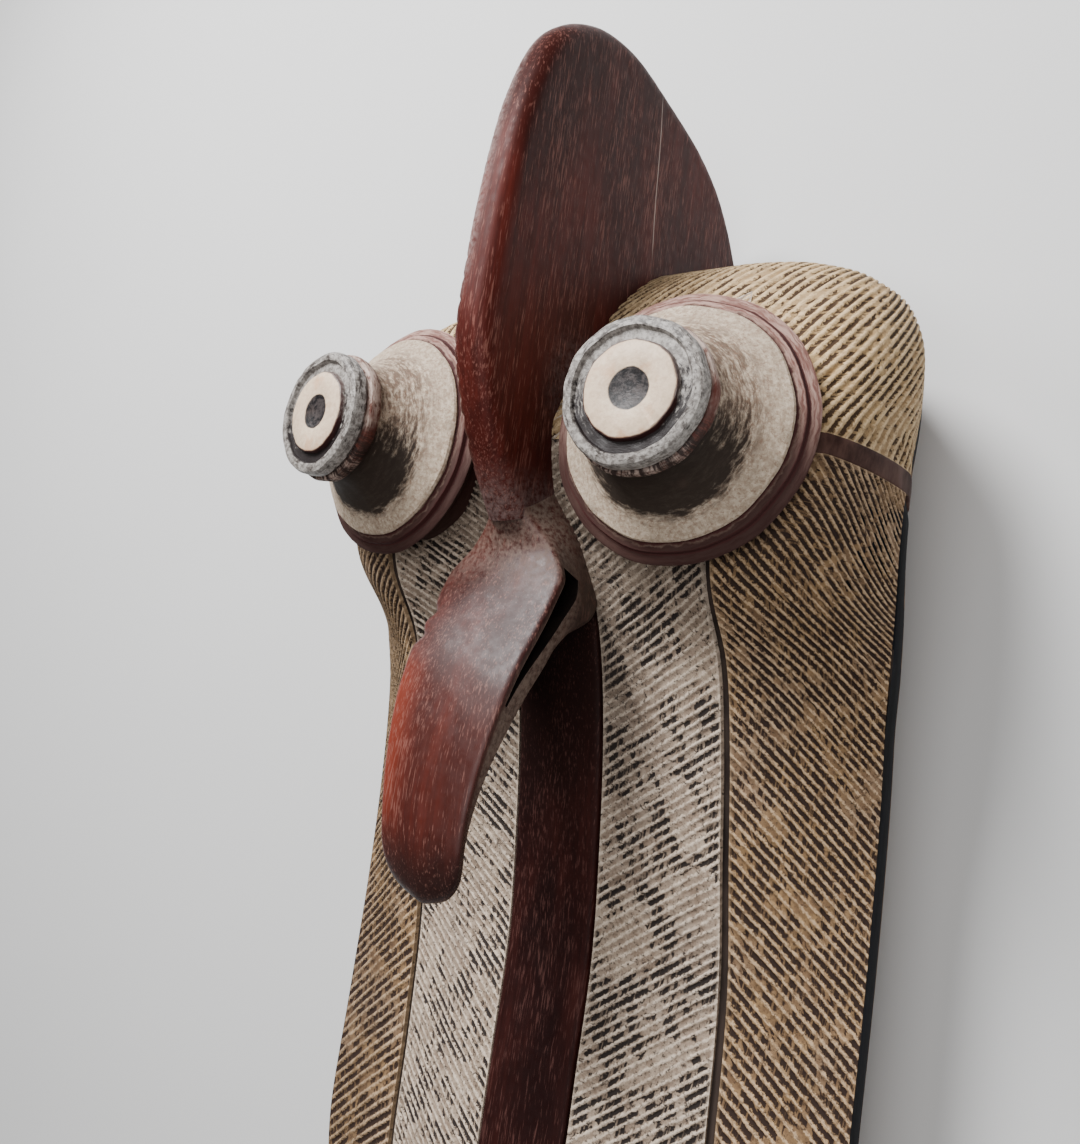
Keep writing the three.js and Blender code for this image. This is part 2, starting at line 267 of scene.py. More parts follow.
def edit_all():
    bpy.ops.object.mode_set(mode="EDIT")
    bpy.ops.mesh.select_all(action="SELECT")


def deselect_all():
    if bpy.context.object and bpy.context.object.mode != "OBJECT":
        leave_edit()
    bpy.ops.object.select_all(action="DESELECT")


def started(name):
    """The piece that was just added, under its name."""
    piece = bpy.context.object
    piece.name = name
    return piece


def block(name, columns, rows, layers=1):
    """A grid extruded into a closed block, from -1 to 1 each way."""
    deselect_all()
    bpy.ops.mesh.primitive_grid_add(x_subdivisions=columns, y_subdivisions=rows, size=2)
    piece = started(name)
    edit_all()
    bpy.ops.transform.translate(value=(0, 0, -1))
    for _ in range(layers):
        bpy.ops.mesh.extrude_region_move(TRANSFORM_OT_translate={"value": (0, 0, 2 / layers)})
    leave_edit()
    return piece


def read(items, name, width=3, kind=float):
    values = np.empty(width * len(items), kind)
    items.foreach_get(name, values)
    return values.reshape(-1, width)


def corners(piece):
    return read(piece.data.vertices, "co").T


def place_corners(piece, places):
    piece.data.vertices.foreach_set("co", np.ascontiguousarray(places).ravel())
    piece.data.update()


def signed_volume(piece):
    mesh = bmesh.new()
    mesh.from_mesh(piece.data)
    volume = mesh.calc_volume(signed=True)
    mesh.free()
    return volume


def make_active(piece):
    deselect_all()
    piece.select_set(True)
    bpy.context.view_layer.objects.active = piece


def close_up(piece, smooth_angle=40):
    """Welds what meets, turns all faces outwards and shades them smooth below an angle."""
    make_active(piece)
    edit_all()
    bpy.ops.mesh.remove_doubles(threshold=2e-6)
    bpy.ops.mesh.normals_make_consistent(inside=False)
    leave_edit()
    if signed_volume(piece) < 0:
        edit_all()
        bpy.ops.mesh.flip_normals()
        leave_edit()
    bpy.ops.object.shade_smooth_by_angle(angle=math.radians(smooth_angle))


def cut_away(piece, cutter):
    """A boolean takes the cutter out of the piece, and lends the cut its material if it has one."""
    make_active(piece)
    cut = piece.modifiers.new("cut", "BOOLEAN")
    cut.object, cut.operation, cut.solver = cutter, "DIFFERENCE", "EXACT"
    if cutter.data.materials:
        cut.material_mode = "TRANSFER"
    bpy.ops.object.modifier_apply(modifier=cut.name)
    bpy.data.objects.remove(cutter)


def wobble(x, y, seed, wave):
    """Slow unevenness from -1 to 1, as a hand leaves it, over waves of that length."""
    turns = np.random.default_rng(seed).uniform(0, 2 * math.pi, 4)
    a, b = 2 * math.pi * x / wave, 2 * math.pi * y / wave
    waves = np.sin(a + turns[0]) * np.cos(0.83 * b + turns[1])
    return (waves + np.sin(0.61 * a - 1.27 * b + turns[2]) + np.sin(1.43 * a + 0.57 * b + turns[3])) / 3


def dress(piece, material, smooth_angle=40, body="root"):
    close_up(piece, smooth_angle)
    piece.data.materials.clear()
    piece.data.materials.append(material)
    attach(piece, body)
    print(piece.name, "has", len(piece.data.polygons), "faces")


# %% [markdown]
# A material is a small web of nodes. Helpers keep them short: add makes a node and fills its
# sockets, and the others name what a painter would: noise, grain, a blend of two colours. A tone is
# a number at each corner of a mesh, which a material reads.

# %% Helpers for materials
def new_material(name, roughness=0.6, gloss=0.5):
    """Starts a material. The helpers add their nodes to the one that was started last."""
    global material, tree
    material = bpy.data.materials.new(name)
    material.use_nodes = True
    tree = material.node_tree
    shader = tree.nodes["Principled BSDF"]
    shader.inputs["Roughness"].default_value = roughness
    shader.inputs["Specular IOR Level"].default_value = gloss
    return add("ShaderNodeTexCoord").outputs["Object"]


def add(kind, inputs=None, **settings):
    node = tree.nodes.new(kind)
    for name, value in settings.items():
        setattr(node, name, value)
    for name, value in (inputs or {}).items():
        if isinstance(value, bpy.types.NodeSocket):
            tree.links.new(value, node.inputs[name])
        else:
            node.inputs[name].default_value = value
    return node


def maths(operation, first, second=0.0, third=0.0):
    return add("ShaderNodeMath", {0: first, 1: second, 2: third}, operation=operation).outputs[0]


def times(first, second):
    return maths("MULTIPLY", first, second)


def plus(first, second):
    return maths("ADD", first, second)


def minus(first, second):
    return maths("SUBTRACT", first, second)


def times_plus(first, second, third):
    return maths("MULTIPLY_ADD", first, second, third)


def spread(value, low, high, to_low=0.0, to_high=1.0):
    """Maps low..high smoothly onto to_low..to_high."""
    sockets = {"Value": value, "From Min": low, "From Max": high, "To Min": to_low, "To Max": to_high}
    return add("ShaderNodeMapRange", sockets, interpolation_type="SMOOTHSTEP").outputs[0]


def noise(vector, scale, detail=3.0, roughness=0.55):
    sockets = {"Vector": vector, "Scale": scale, "Detail": detail, "Roughness": roughness}
    return add("ShaderNodeTexNoise", sockets).outputs["Fac"]


def stretched(vector, x, y, z):
    return add("ShaderNodeMapping", {"Vector": vector, "Scale": (x, y, z)}).outputs[0]


def grained(place, across, along, detail, roughness=0.55):
    """A noise drawn out along the mask, as grain is."""
    return noise(stretched(place, across, along, across), 1.0, detail, roughness)


def blend(share, first, second):
    """A mix of two colours, each a socket or three numbers."""
    sockets = {0: share, 6: first, 7: second}
    for name in (6, 7):
        if not isinstance(sockets[name], bpy.types.NodeSocket):
            sockets[name] = (*sockets[name], 1)
    return add("ShaderNodeMix", sockets, data_type="RGBA").outputs[2]


def tone(name):
    return add("ShaderNodeAttribute", attribute_name=name).outputs["Fac"]


def set_tones(piece, **tones):
    for name, values in tones.items():
        attribute = piece.data.attributes.new(name, "FLOAT", "POINT")
        values = np.broadcast_to(values, len(piece.data.vertices))
        attribute.data.foreach_set("value", values.astype(np.float32))


def finish_material(colour, roughness=None, height=None, bump=0.3, distance=0.0004):
    shader = tree.nodes["Principled BSDF"]
    tree.links.new(colour, shader.inputs["Base Color"])
    if roughness is not None:
        tree.links.new(roughness, shader.inputs["Roughness"])
    if height is not None:
        sockets = {"Height": height, "Strength": bump, "Distance": distance}
        tree.links.new(add("ShaderNodeBump", sockets).outputs[0], shader.inputs["Normal"])
    return material


# %% [markdown]
# The waxed wood of the crest, nose and band is dark red-brown. Short pale streaks run with the grain,
# along the mask, and the gloss is broken where hands and air have dulled it. The meshes carry
# three tones: pale dust, which on the crest's front edge is also a painted highlight; glow, where the
# red has worn bright; and a near black, which is the nose's dark tip and painted shade on the crest's
# right face, at the nose's root and on the band's top under the nose. off_line is the distance from a
# long thin scratch, in mm, and scratched says where on the crest that scratch shows.

# %% Waxed red-brown wood
def waxed_wood(name, dark, light, streak, streak_share, roughness, gloss, dust_sheen_colour):
    place = new_material(name, gloss=gloss)
    grain = grained(place, 420, 16, 5.0, 0.65)
    broad = grained(place, 30, 9, 3.0)
    base = blend(spread(broad, 0.35, 0.68), dark, light)
    base = blend(spread(grain, 0.38, 0.68, 0.0, 0.65), base, dark)
    base = blend(tone("glow"), base, (0.27, 0.036, 0.014))
    # A near black: the nose's dark tip, and painted shade on the crest's right face, at the nose's root and
    # on the band's top under the nose.
    base = blend(tone("burnt"), base, (0.016, 0.006, 0.005))
    flecks = grained(place, 1700, 130, 4.0, 0.6)
    crowds = grained(place, 45, 14, 3.0)
    fleck_mask = spread(times_plus(crowds, 0.35, flecks), 0.7, 0.84, 0.0, streak_share)
    colour = blend(fleck_mask, base, streak)
    # Pale dust, and on the crest's front edge a painted highlight in the same pale colour.
    dust_sheen_share = spread(noise(place, 520, 5.0, 0.7), 0.3, 0.65)
    dust_sheen_share = times(tone("dusty"), dust_sheen_share)
    colour = blend(dust_sheen_share, colour, dust_sheen_colour)
    off_line = maths("ABSOLUTE", tone("off_line"))
    scratch = times(spread(off_line, 0.12, 0.4, 1.0, 0.0), tone("scratched"))
    scratch = times(scratch, spread(grain, 0.35, 0.55, 0.3, 0.9))
    colour = blend(scratch, colour, (0.42, 0.33, 0.29))
    rough = spread(noise(place, 260, 4.0), 0.3, 0.7, *roughness)
    rough = times_plus(dust_sheen_share, 0.4, rough)
    relief = plus(times(grain, 0.6), times(flecks, 0.5))
    return finish_material(colour, rough, relief, 0.25, 0.0003)


crest_wood = waxed_wood(
    "crest_wood", (0.028, 0.0055, 0.0042), (0.088, 0.015, 0.011), (0.23, 0.095, 0.075), 0.5,
    (0.40, 0.52), 0.08, (0.34, 0.26, 0.245),
)
nose_wood = waxed_wood(
    "nose_wood", (0.026, 0.0055, 0.0045), (0.082, 0.014, 0.009), (0.26, 0.12, 0.095), 0.4,
    (0.38, 0.5), 0.3, (0.20, 0.145, 0.115),
)
band_wood = waxed_wood(
    "band_wood", (0.011, 0.0030, 0.0028), (0.044, 0.010, 0.008), (0.15, 0.065, 0.055), 0.35,
    (0.5, 0.65), 0.1, (0.20, 0.145, 0.115),
)
print("waxed woods made")

# %% [markdown]
# The combed zones are thin ridges with wider grooves between them. Paint covers both, but in the
# grooves it has broken away in dark dashes with small bridges across. The mesh has its own
# map for this: the first number is the distance along the groove in mm, the second counts grooves.
# It also carries three tones: cover, where paint fills the grooves, edging, the plain
# strip along the incised line, and soil, which darkens the paint: grime with painted shade close
# to the eyes and the nose, and painted shade far out on the left side.

# %% Combed paint
def combed_paint(name, ridge, paint, dust, stain_and_shade, bare, loss, ridge_share, floor_half, speck_share):
    place = new_material(name, 0.85, gloss=0.3)
    grooves = add("ShaderNodeUVMap", uv_map="grooves").outputs[0]
    split = add("ShaderNodeSeparateXYZ", {0: grooves})
    along, number = split.outputs[0], split.outputs[1]
    cover, edging, soil = (tone(name) for name in ("cover", "edging", "soil"))
    grit = noise(place, 850, 5.0, 0.7)
    across = maths("FRACT", number)
    ragged = times(minus(grit, 0.5), 0.9)
    from_floor = plus(maths("ABSOLUTE", minus(across, 0.5)), ragged)
    floor_mask = spread(from_floor, floor_half, floor_half + 0.09, 1.0, 0.0)
    ridge_mask = spread(from_floor, floor_half + 0.08, floor_half + 0.18)
    which = maths("FLOOR", number)

    def along_groove(length, seed, detail, slant=0.0):
        slid = plus(along, times(across, slant))
        sockets = {0: maths("DIVIDE", slid, length), 1: times(which, seed), 2: seed}
        return noise(add("ShaderNodeCombineXYZ", sockets).outputs[0], 1.0, detail)

    patches = noise(place, 46, 5.0, 0.65)
    broken = plus(along_groove(5.0, 3.7, 3.0), times(patches, 1.2))
    broken = minus(broken, times(cover, 0.42))
    missing = spread(broken, 1.13 - loss, 1.22 - loss)
    bridges = spread(along_groove(1.9, 5.3, 4.0, 1.1), 0.56, 0.64, 1.0, 0.1)
    hole = times(times(missing, bridges), floor_mask)
    hole = times(hole, minus(1.0, edging))

    mottle = noise(place, 120, 6.0, 0.7)
    base = blend(spread(noise(place, 26, 4.0), 0.44, 0.64, 0.0, 0.8), paint, dust)
    base = blend(spread(mottle, 0.38, 0.68, 0.0, 0.8), base, stain_and_shade)
    grime = spread(noise(place, 420, 6.0, 0.8), 0.42, 0.62, 0.0, 0.75)
    base = blend(grime, base, stain_and_shade)
    # Groove floors are mixed towards the stain colour, a painted shade, and ridge tops towards the ridge
    # colour, a painted highlight.
    shade = blend(times(floor_mask, 0.45), base, stain_and_shade)
    breaks = spread(along_groove(2.6, 7.1, 3.0), 0.36, 0.56, 0.15, ridge_share)
    lit = blend(times(ridge_mask, breaks), shade, ridge)
    lit = blend(times(edging, 0.4), lit, ridge)
    specks = spread(noise(place, 640, 6.0, 0.8), 0.52, 0.62, 0.0, speck_share)
    worn = blend(specks, lit, bare)
    colour = blend(hole, worn, bare)
    # The paint darkens towards the bare wood's colour: grime, and painted shade near the eyes, beside the
    # nose and on the left side.
    soiled = times(soil, spread(mottle, 0.25, 0.7, 0.4, 0.9))
    colour = blend(soiled, colour, bare)
    height = minus(times(grit, 0.5), times(hole, 0.8))
    return finish_material(colour, None, height, 0.6, 0.0006)


cream_paint = combed_paint(
    "cream_paint", (0.70, 0.58, 0.465), (0.54, 0.435, 0.335), (0.38, 0.31, 0.25), (0.20, 0.14, 0.10),
    (0.020, 0.014, 0.012), 0.18, 0.75, 0.22, 0.95,
)
ochre_paint = combed_paint(
    "ochre_paint", (0.54, 0.38, 0.235), (0.36, 0.225, 0.105), (0.31, 0.22, 0.155), (0.14, 0.08, 0.042),
    (0.024, 0.012, 0.008), 0.21, 0.9, 0.22, 0.75,
)
dome_paint = combed_paint(
    "dome_paint", (0.66, 0.48, 0.28), (0.52, 0.36, 0.18), (0.48, 0.36, 0.22), (0.30, 0.19, 0.09),
    (0.05, 0.026, 0.012), 0.2, 0.9, 0.17, 0.45,
)
print("combed paints made")

# %% [markdown]
# Bare parts: the back of the mask and its hollow are plain wood gone dark. The sides below
# the corners are dark wood, painted nearly black as painted shade, with a bluish painted reflection.

# %% Dark sides with painted shade and reflection, and bare wood
def plain_wood(name, dark, light, roughness, grain_along=9):
    place = new_material(name, roughness, gloss=0.08)
    grain = grained(place, 130, grain_along, 5.0, 0.6)
    blotches = noise(place, 18, 4.0)
    base = blend(spread(grain, 0.3, 0.7), dark, light)
    colour = blend(spread(blotches, 0.45, 0.75, 0.0, 0.6), base, dark)
    return finish_material(colour, None, grain, 0.35, 0.0005)


# Side walls: dark wood painted nearly black, a painted shade, with a blue tint that is a painted reflection.
dark_side_shade_sheen = plain_wood("dark_side_shade_sheen", (0.002, 0.0022, 0.003), (0.008, 0.009, 0.013), 0.75)
bare_wood = plain_wood("bare_wood", (0.10, 0.055, 0.03), (0.26, 0.16, 0.09), 0.75)
groove_floor = plain_wood("groove_floor", (0.014, 0.010, 0.009), (0.05, 0.036, 0.03), 0.7)
# The slit's walls: nearly black, a painted shade in the deep cut.
slit_shade_black = plain_wood("slit_shade_black", (0.004, 0.003, 0.003), (0.014, 0.009, 0.007), 0.8)
plum_paint = plain_wood("plum_paint", (0.026, 0.011, 0.009), (0.095, 0.050, 0.040), 0.6, 60)
print("plain woods made")

# %% [markdown]
# The shell is the body under the combed skin: the face, the leaning side walls, the flat rim and
# the hollow. The same rule shapes its outside and, one wall's thickness inside, the
# hollow. A boolean cuts the hollow out and a bisect cuts the rim flat. Its face sits a little
# lower than the real one, because the combed skin lies on top.

# %% The shell
skin_depth = 2.0
wall_skin = 32
corner_share = 0.95
face_middle = (face_top + face_bottom) / 2
face_half_length = (face_top - face_bottom) / 2


def shell_block(name, columns, rows, layers, inset, lowered):
    piece = block(name, columns, rows, layers)
    u, v, w = corners(piece)
    y = face_middle + face_half_length * np.sin(v * math.pi / 2)
    x = half_width(y) * np.sin(u * math.pi / 2)
    on_head = ramp(y, -26, -20)
    near_edge = np.maximum(np.abs(u), -v)
    rises_again = ramp(near_edge, corner_share, 1) * (1 - ramp(y, -110, -80))
    sunk = lowered * (1 - rises_again)
    face = face_height(x, y) - inset - sunk
    back = rim_level(y) - wall
    depth = (face - back) * (1 - w) / 2
    under_skin = lowered * on_head * (1 - ramp(depth, wall_skin - 6, wall_skin + 2))
    inward = wall_inset(depth, y) + inset + under_skin
    x = x * (1 - inward / temple_half_width)
    y = face_middle + (y - face_middle) * (1 - inward / face_half_length)
    place_corners(piece, lay_down(x, y, face - depth))
    close_up(piece)
    return piece


shell = shell_block("carved_shell", 80, 130, 16, 0, skin_depth)
hollow = shell_block("hollow_cutter", 40, 64, 10, wall, 0)
cut_away(shell, hollow)
edit_all()
bpy.ops.mesh.bisect(plane_co=(0, 0, 0), plane_no=(0, 0, 1), use_fill=True, clear_inner=True)
leave_edit()
shell_points = corners(shell)
shell_points[2] = np.maximum(shell_points[2], 0)
place_corners(shell, shell_points.T)
dress(shell, groove_floor)
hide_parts("mask")

# %% The shell's sides get painted shade and a bluish painted reflection, and its inside is bare
shell.data.materials.append(dark_side_shade_sheen)
shell.data.materials.append(bare_wood)
normals, centres = (read(shell.data.polygons, name) for name in ("normal", "center"))
outward_x = normals[:, 0] * centres[:, 0]
outward_y = normals[:, 1] * (centres[:, 1] + 0.05)
facing_in = (normals[:, 2] < 0.05) & (outward_x + outward_y < 0) | (normals[:, 2] < -0.3)
facing_side = (np.abs(normals[:, 2]) < 0.6) & ~facing_in
material_at = np.where(facing_in, 2, np.where(facing_side, 1, 0))
shell.data.polygons.foreach_set("material_index", material_at.astype(np.int32))
print("faces of the sides", int(facing_side.sum()), "and of the inside", int(facing_in.sum()))

# %% [markdown]
# Grooves keep their direction as the wood turns down at the corners, so they are laid
# out on the face unrolled: y as before, and s, the distance over the wood from the middle. A table
# of cross-sections gives the place of any s and y, and goes on a little way down the side wall.

# %% The face unrolled
sheet_step = 0.5
sheet_y = face_middle + face_half_length * np.sin(np.linspace(-1, 1, 901) * math.pi / 2)
sheet_rows = []
face_x = []
face_s = []
for level in sheet_y:
    x = float(half_width(level)) * np.sin(np.linspace(0, 1, 200) * math.pi / 2)
    z = face_height(x, np.full_like(x, level))
    depth = np.linspace(0.3, wall_skin + 8, 100)
    inset = wall_inset(depth, level)
    wall_x = x[-1] * (1 - inset / temple_half_width)
    wall_y = face_middle + (level - face_middle) * (1 - inset / face_half_length)
    points = np.stack([
        np.append(x, wall_x),
        np.append(np.full_like(x, level), wall_y),
        np.append(z, z[-1] - depth),
    ], axis=1)
    run = np.concatenate([[0], np.cumsum(np.linalg.norm(np.diff(points, axis=0), axis=1))])
    stops = np.arange(0, 240, sheet_step)
    sheet_rows.append([np.interp(stops, run, column) for column in points.T])
    face_x.append(x)
    face_s.append(run[: len(x)])
sheet = np.array(sheet_rows)


def on_sheet(s, y):
    """Points of the wood at distances s from the middle and levels y, as an array of x, y, z."""
    y = np.clip(y, sheet_y[0], sheet_y[-1])
    i = np.clip(np.searchsorted(sheet_y, y) - 1, 0, len(sheet_y) - 2)
    t = (y - sheet_y[i]) / (sheet_y[i + 1] - sheet_y[i])
    place = np.clip(s / sheet_step, 0, sheet.shape[2] - 1.001)
    j = place.astype(int)
    f = place - j
    low = between(sheet[i, :, j].T, sheet[i, :, j + 1].T, f)
    high = between(sheet[i + 1, :, j].T, sheet[i + 1, :, j + 1].T, f)
    return between(low, high, t)


def sheet_normal(s, y):
    h = 0.6
    by_s = on_sheet(s + h, y) - on_sheet(np.maximum(s - h, 0), y)
    by_y = on_sheet(s, y + h) - on_sheet(s, y - h)
    normal = np.cross(by_s.T, by_y.T).T
    return normal / np.maximum(np.linalg.norm(normal, axis=0), 1e-9)


def distance_to(x_at):
    """The distance over the wood to a line down the face, as a function of the level."""
    table = np.array([np.interp(x_at(y), x, s) for y, x, s in zip(sheet_y, face_x, face_s)])
    return lambda y: np.interp(y, sheet_y, table)


corner_at = distance_to(lambda y: 1e3)
print("the face is", round(2 * float(corner_at(-100)), 1), "mm across over the wood, below the eyes")

# %% [markdown]
# The carver combs each zone with one gouge, groove beside groove. So the mesh does the same: its
# rows run along the grooves, six to each one, and start from a path along one side of
# the zone. That gives crisp ridges at any angle with few faces. Every row is walked in
# small steps until it leaves the zone, and is then shared out into even cells.

# %% Walking the grooves
groove_depth = 0.95
skin_thickness = 3.2
cover_fill = 0.88
groove_profile = np.array([0, 0.1, 0.85, 1, 0.85, 0.1])


def groove_rows(floor_half):
    """Places of one groove's six rows: ridge, brow, floor edge, floor, floor edge, brow."""
    return np.array([0, 0.37 - floor_half, 0.5 - floor_half, 0.5, 0.5 + floor_half, 0.63 + floor_half])


def number_along(path, angle_at, spacing_at):
    """Counts grooves along a start path, from their spacing straight down the face."""
    angle = angle_at(path[:, 0], path[:, 1])
    solid_path = on_sheet(path[:, 0], path[:, 1]).T
    step = np.diff(path, axis=0)
    stretch = np.linalg.norm(np.diff(solid_path, axis=0), axis=1) / np.linalg.norm(step, axis=1)
    crossing = np.abs(step[:, 0] * np.sin(angle[1:]) - step[:, 1] * np.cos(angle[1:]))
    steps = crossing * stretch / (spacing_at(path[1:, 1]) * np.cos(angle[1:]))
    return np.concatenate([[0], np.cumsum(steps)])


def walk_rows(start, angle_at, limit_at, columns, longest=330):
    stride = 0.5
    s, y = start.T.copy()
    trail = [np.stack([s, y])]
    for _ in range(int(longest / stride)):
        angle = angle_at(s, y)
        s, y = s + stride * np.cos(angle), y + stride * np.sin(angle)
        trail.append(np.stack([s, y]))
    trail = np.array(trail)
    rows, runs = [], []
    for k in range(len(start)):
        s, y = trail[:, 0, k], trail[:, 1, k]
        limit = limit_at(y)
        outside = np.flatnonzero((s > limit) | (y > face_top) | (y < face_bottom))
        last = max(int(outside[0]) if len(outside) else len(s) - 1, 1)
        share = np.clip((limit[last - 1] - s[last - 1]) / max(s[last] - s[last - 1], 1e-6), 0.02, 1)
        line = np.stack([s, y], axis=1)[: last + 1].copy()
        line[-1] = between(line[-2], line[-1], share)
        line[:, 1] = np.clip(line[:, 1], face_bottom, face_top)
        rows.append(evenly(line, columns + 1))
        runs.append(np.linspace(0, (last - 1 + share) * stride, columns + 1))
    return np.array(rows), np.array(runs)


def edge_fade(run, length, start_border, end_border):
    fade = np.ones_like(run)
    if start_border:
        fade = fade * ramp(run, 0.45 * start_border, start_border)
    if end_border:
        fade = fade * ramp(length - run, 0.45 * end_border, end_border)
    return fade


# %% A combed skin over one zone
def combed_skin(
    name, side, path, angle_at, spacing_at, limit_at, columns,
    borders, lit_borders, cover_at, material, seed, floor_half,
):
    groove_steps = groove_rows(floor_half)
    path = evenly(np.array(path, float), 3000)
    number = number_along(path, angle_at, spacing_at)
    grooves = int(number[-1])
    row_numbers = np.append((np.arange(grooves)[:, None] + groove_steps[None, :]).ravel(), grooves)
    start = np.stack([np.interp(row_numbers, number, column) for column in path.T], axis=1)
    rows, runs = walk_rows(start, angle_at, limit_at, columns)

    piece = block(name, columns, len(rows) - 1)
    u, v, w = corners(piece)
    column = np.rint((u + 1) / 2 * columns).astype(int)
    row = np.rint((v + 1) / 2 * (len(rows) - 1)).astype(int)
    s, y = rows[row, column].T
    run, length = runs[row, column], runs[row, -1]
    count = row_numbers[row]
    groove = np.floor(count).astype(int)
    share = count - groove
    cut = np.interp(share, np.append(groove_steps, 1), np.append(groove_profile, 0))

    random = np.random.default_rng(seed)
    strength = random.uniform(0.75, 1.15, grooves + 2)
    phase = random.uniform(0, 2 * math.pi, grooves + 2)
    inside = ramp(run, 0, 4) * ramp(length - run, 0, 4)
    waver = [
        0.22 * np.sin(run / 11 + phase[groove + k]) + 0.14 * np.sin(run / 3.7 + 2 * phase[groove + k])
        for k in (0, 1)
    ]
    y = y + between(waver[0], waver[1], share) * inside
    cover = cover_at(s, y)
    ridge_dip = 0.2 * np.clip(np.sin(run / 2.3 + 5 * phase[groove]) + wobble(s, y, seed + 2, 7), 0, 1)
    uneven = 0.82 + 0.25 * wobble(s, y, seed, 13) + 0.15 * np.sin(run / 3.1 + phase[groove])
    depth = groove_depth * np.where(cut > 0.05, cut * strength[groove] * uneven, 0.2 * ridge_dip)
    fade = edge_fade(run, length, *borders)
    depth = depth * (1 - cover_fill * cover) * fade
    swell = 0.2 * wobble(s, y, seed + 1, 37) * edge_fade(run, length, 3, 3)
    drop = np.where(w > 0, depth - swell, skin_thickness)
    x_, y_, z_ = on_sheet(s, y) - sheet_normal(s, y) * drop
    place_corners(piece, lay_down(side * x_, y_, z_))

    layer = piece.data.uv_layers.new(name="grooves")
    of_loop = read(piece.data.loops, "vertex_index", 1, np.int32)[:, 0]
    layer.data.foreach_set("uv", np.ascontiguousarray(np.stack([run, count], axis=1)[of_loop]).ravel())
    eye_gap = np.hypot(x_ - eye_from_middle, y_)
    # Near the eyes and beside the nose the paint darkens: grime and painted shade.
    near_eye = (1 - ramp(eye_gap, 50, 84)) * ramp(-y_, -20, 20)
    near_nose = (1 - ramp(x_, 26, 66)) * ramp(y_, -170, -75)
    edging = 1 - edge_fade(run, length, *lit_borders)
    # Far out on the left side the paint darkens: painted shade.
    shaded = 0.4 * ramp(-side * x_, 78, 96)
    soil = np.maximum(np.maximum(0.3 * near_eye, 0.65 * near_nose), shaded)
    set_tones(piece, cover=cover, edging=edging, soil=soil)
    dress(piece, material, 60)


# %% [markdown]
# The zones share their borders. The inner zone runs from the band's foot to the incised
# line, its grooves rising outwards. The outer zone runs on from the line to the corner, its grooves
# falling. Above the strip the dome's grooves rise again, from the crest over the rounded edge and
# down the side of the head.

# %% The borders of the zones
eye_from_middle = 71
band_foot = band_half_width + 1.0
chin_end = -0.985 * chin_drop
inner_top = 16


def line_at(y):
    return line_from_middle * narrowing(y)


line_inside = distance_to(lambda y: line_at(y) - line_half_width)
line_outside = distance_to(lambda y: line_at(y) + line_half_width)
foot_s = distance_to(lambda y: band_foot * narrowing(y))
temple_s = float(corner_at(-10.0))
strip_start = temple_s - 46


def strip_edge(s, at_eye, at_corner):
    """The level of the temple strip's upper or lower edge, which sinks towards the corner."""
    return between(at_eye, at_corner, np.clip((s - strip_start) / (temple_s - strip_start), 0, 1.4))


def strip_top(s):
    return strip_edge(s, -6.0, -12.5)


def strip_bottom(s):
    return strip_edge(s, -12.6, -20.5)


def down(distance_at, top, bottom):
    y = np.linspace(top, bottom, 300)
    return np.stack([distance_at(y), y], axis=1)


def inner_angle(s, y):
    return np.radians(between(31, 37.5, ramp(-y, 40, 250)))


def outer_angle(s, y):
    edge = ramp(s, line_from_middle, corner_at(y))
    fan = ramp(y, -90, -20)
    return -np.radians(between(44, 38.5, ramp(-y, 120, 250)) + 3 * edge + 11 * fan * edge)


def dome_angle(s, y):
    return np.radians(52 + 14 * ramp(y, -10, 38) - 8 * (1 - ramp(s, 60, 100)))


def patches(seed, wave, low, high):
    """Where paint still fills the grooves: ragged patches, big and small."""
    def cover_at(s, y):
        ragged = wobble(s, y, seed, wave) + 0.8 * wobble(s, y, seed + 3, wave / 2.3)
        ragged = ragged + 0.7 * wobble(s, y, seed + 6, wave / 5.2) + 0.5 * wobble(s, y, seed + 9, wave / 11)
        return ramp(ragged, low, high)
    return cover_at


# %% Combing the zones
strip_corner = temple_s - 0.5
outer_corner_s = np.linspace(strip_corner, float(line_outside(-14.0)), 60)
outer_path = np.concatenate([
    np.stack([outer_corner_s, strip_bottom(outer_corner_s)], axis=1),
    down(line_outside, strip_bottom(outer_corner_s[-1]) - 1, chin_end),
])
dome_foot_s = np.linspace(temple_s + wall_skin - 4, 6, 120)
dome_path = np.concatenate([
    np.stack([dome_foot_s, strip_top(dome_foot_s)], axis=1),
    [(6, y) for y in np.linspace(-4, 0.99 * crown_rise, 60)],
])
inner_path = down(lambda y: between(foot_s(y), 6.5, ramp(y, -67, -61)), inner_top, chin_end)

for side, word in sides:
    combed_skin(
        f"inner_zone_{word}", side, inner_path, inner_angle,
        lambda y: between(3.6, 4.1, ramp(-y, 60, 130)), line_inside, 38, (1.0, 1.9), (0.5, 1.3),
        patches(61 + side, 58, -0.35, 0.75), cream_paint, 11 + side, 0.25,
    )
    combed_skin(
        f"outer_zone_{word}", side, outer_path, outer_angle,
        lambda y: between(4.4, 4.9, ramp(-y, 100, 200)), corner_at, 42, (0.9, 1.0), (0.5, 0),
        patches(71 + side, 46, 0.35, 1.1), ochre_paint, 21 + side, 0.25,
    )
    combed_skin(
        f"dome_zone_{word}", side, dome_path, dome_angle,
        lambda y: between(6.0, 8.0, ramp(y, -8, 30)), lambda y: corner_at(y) + wall_skin, 104,
        (0.8, 3), (0.8, 0),
        patches(81 + side, 46, 0.2, 1.1), dome_paint, 31 + side, 0.18,
    )

# %% [markdown]
# A plain band runs down the middle from under the nose, a little proud of the combed zones and
# rounded along both edges. A narrow strip crosses each temple from the eye to the corner.

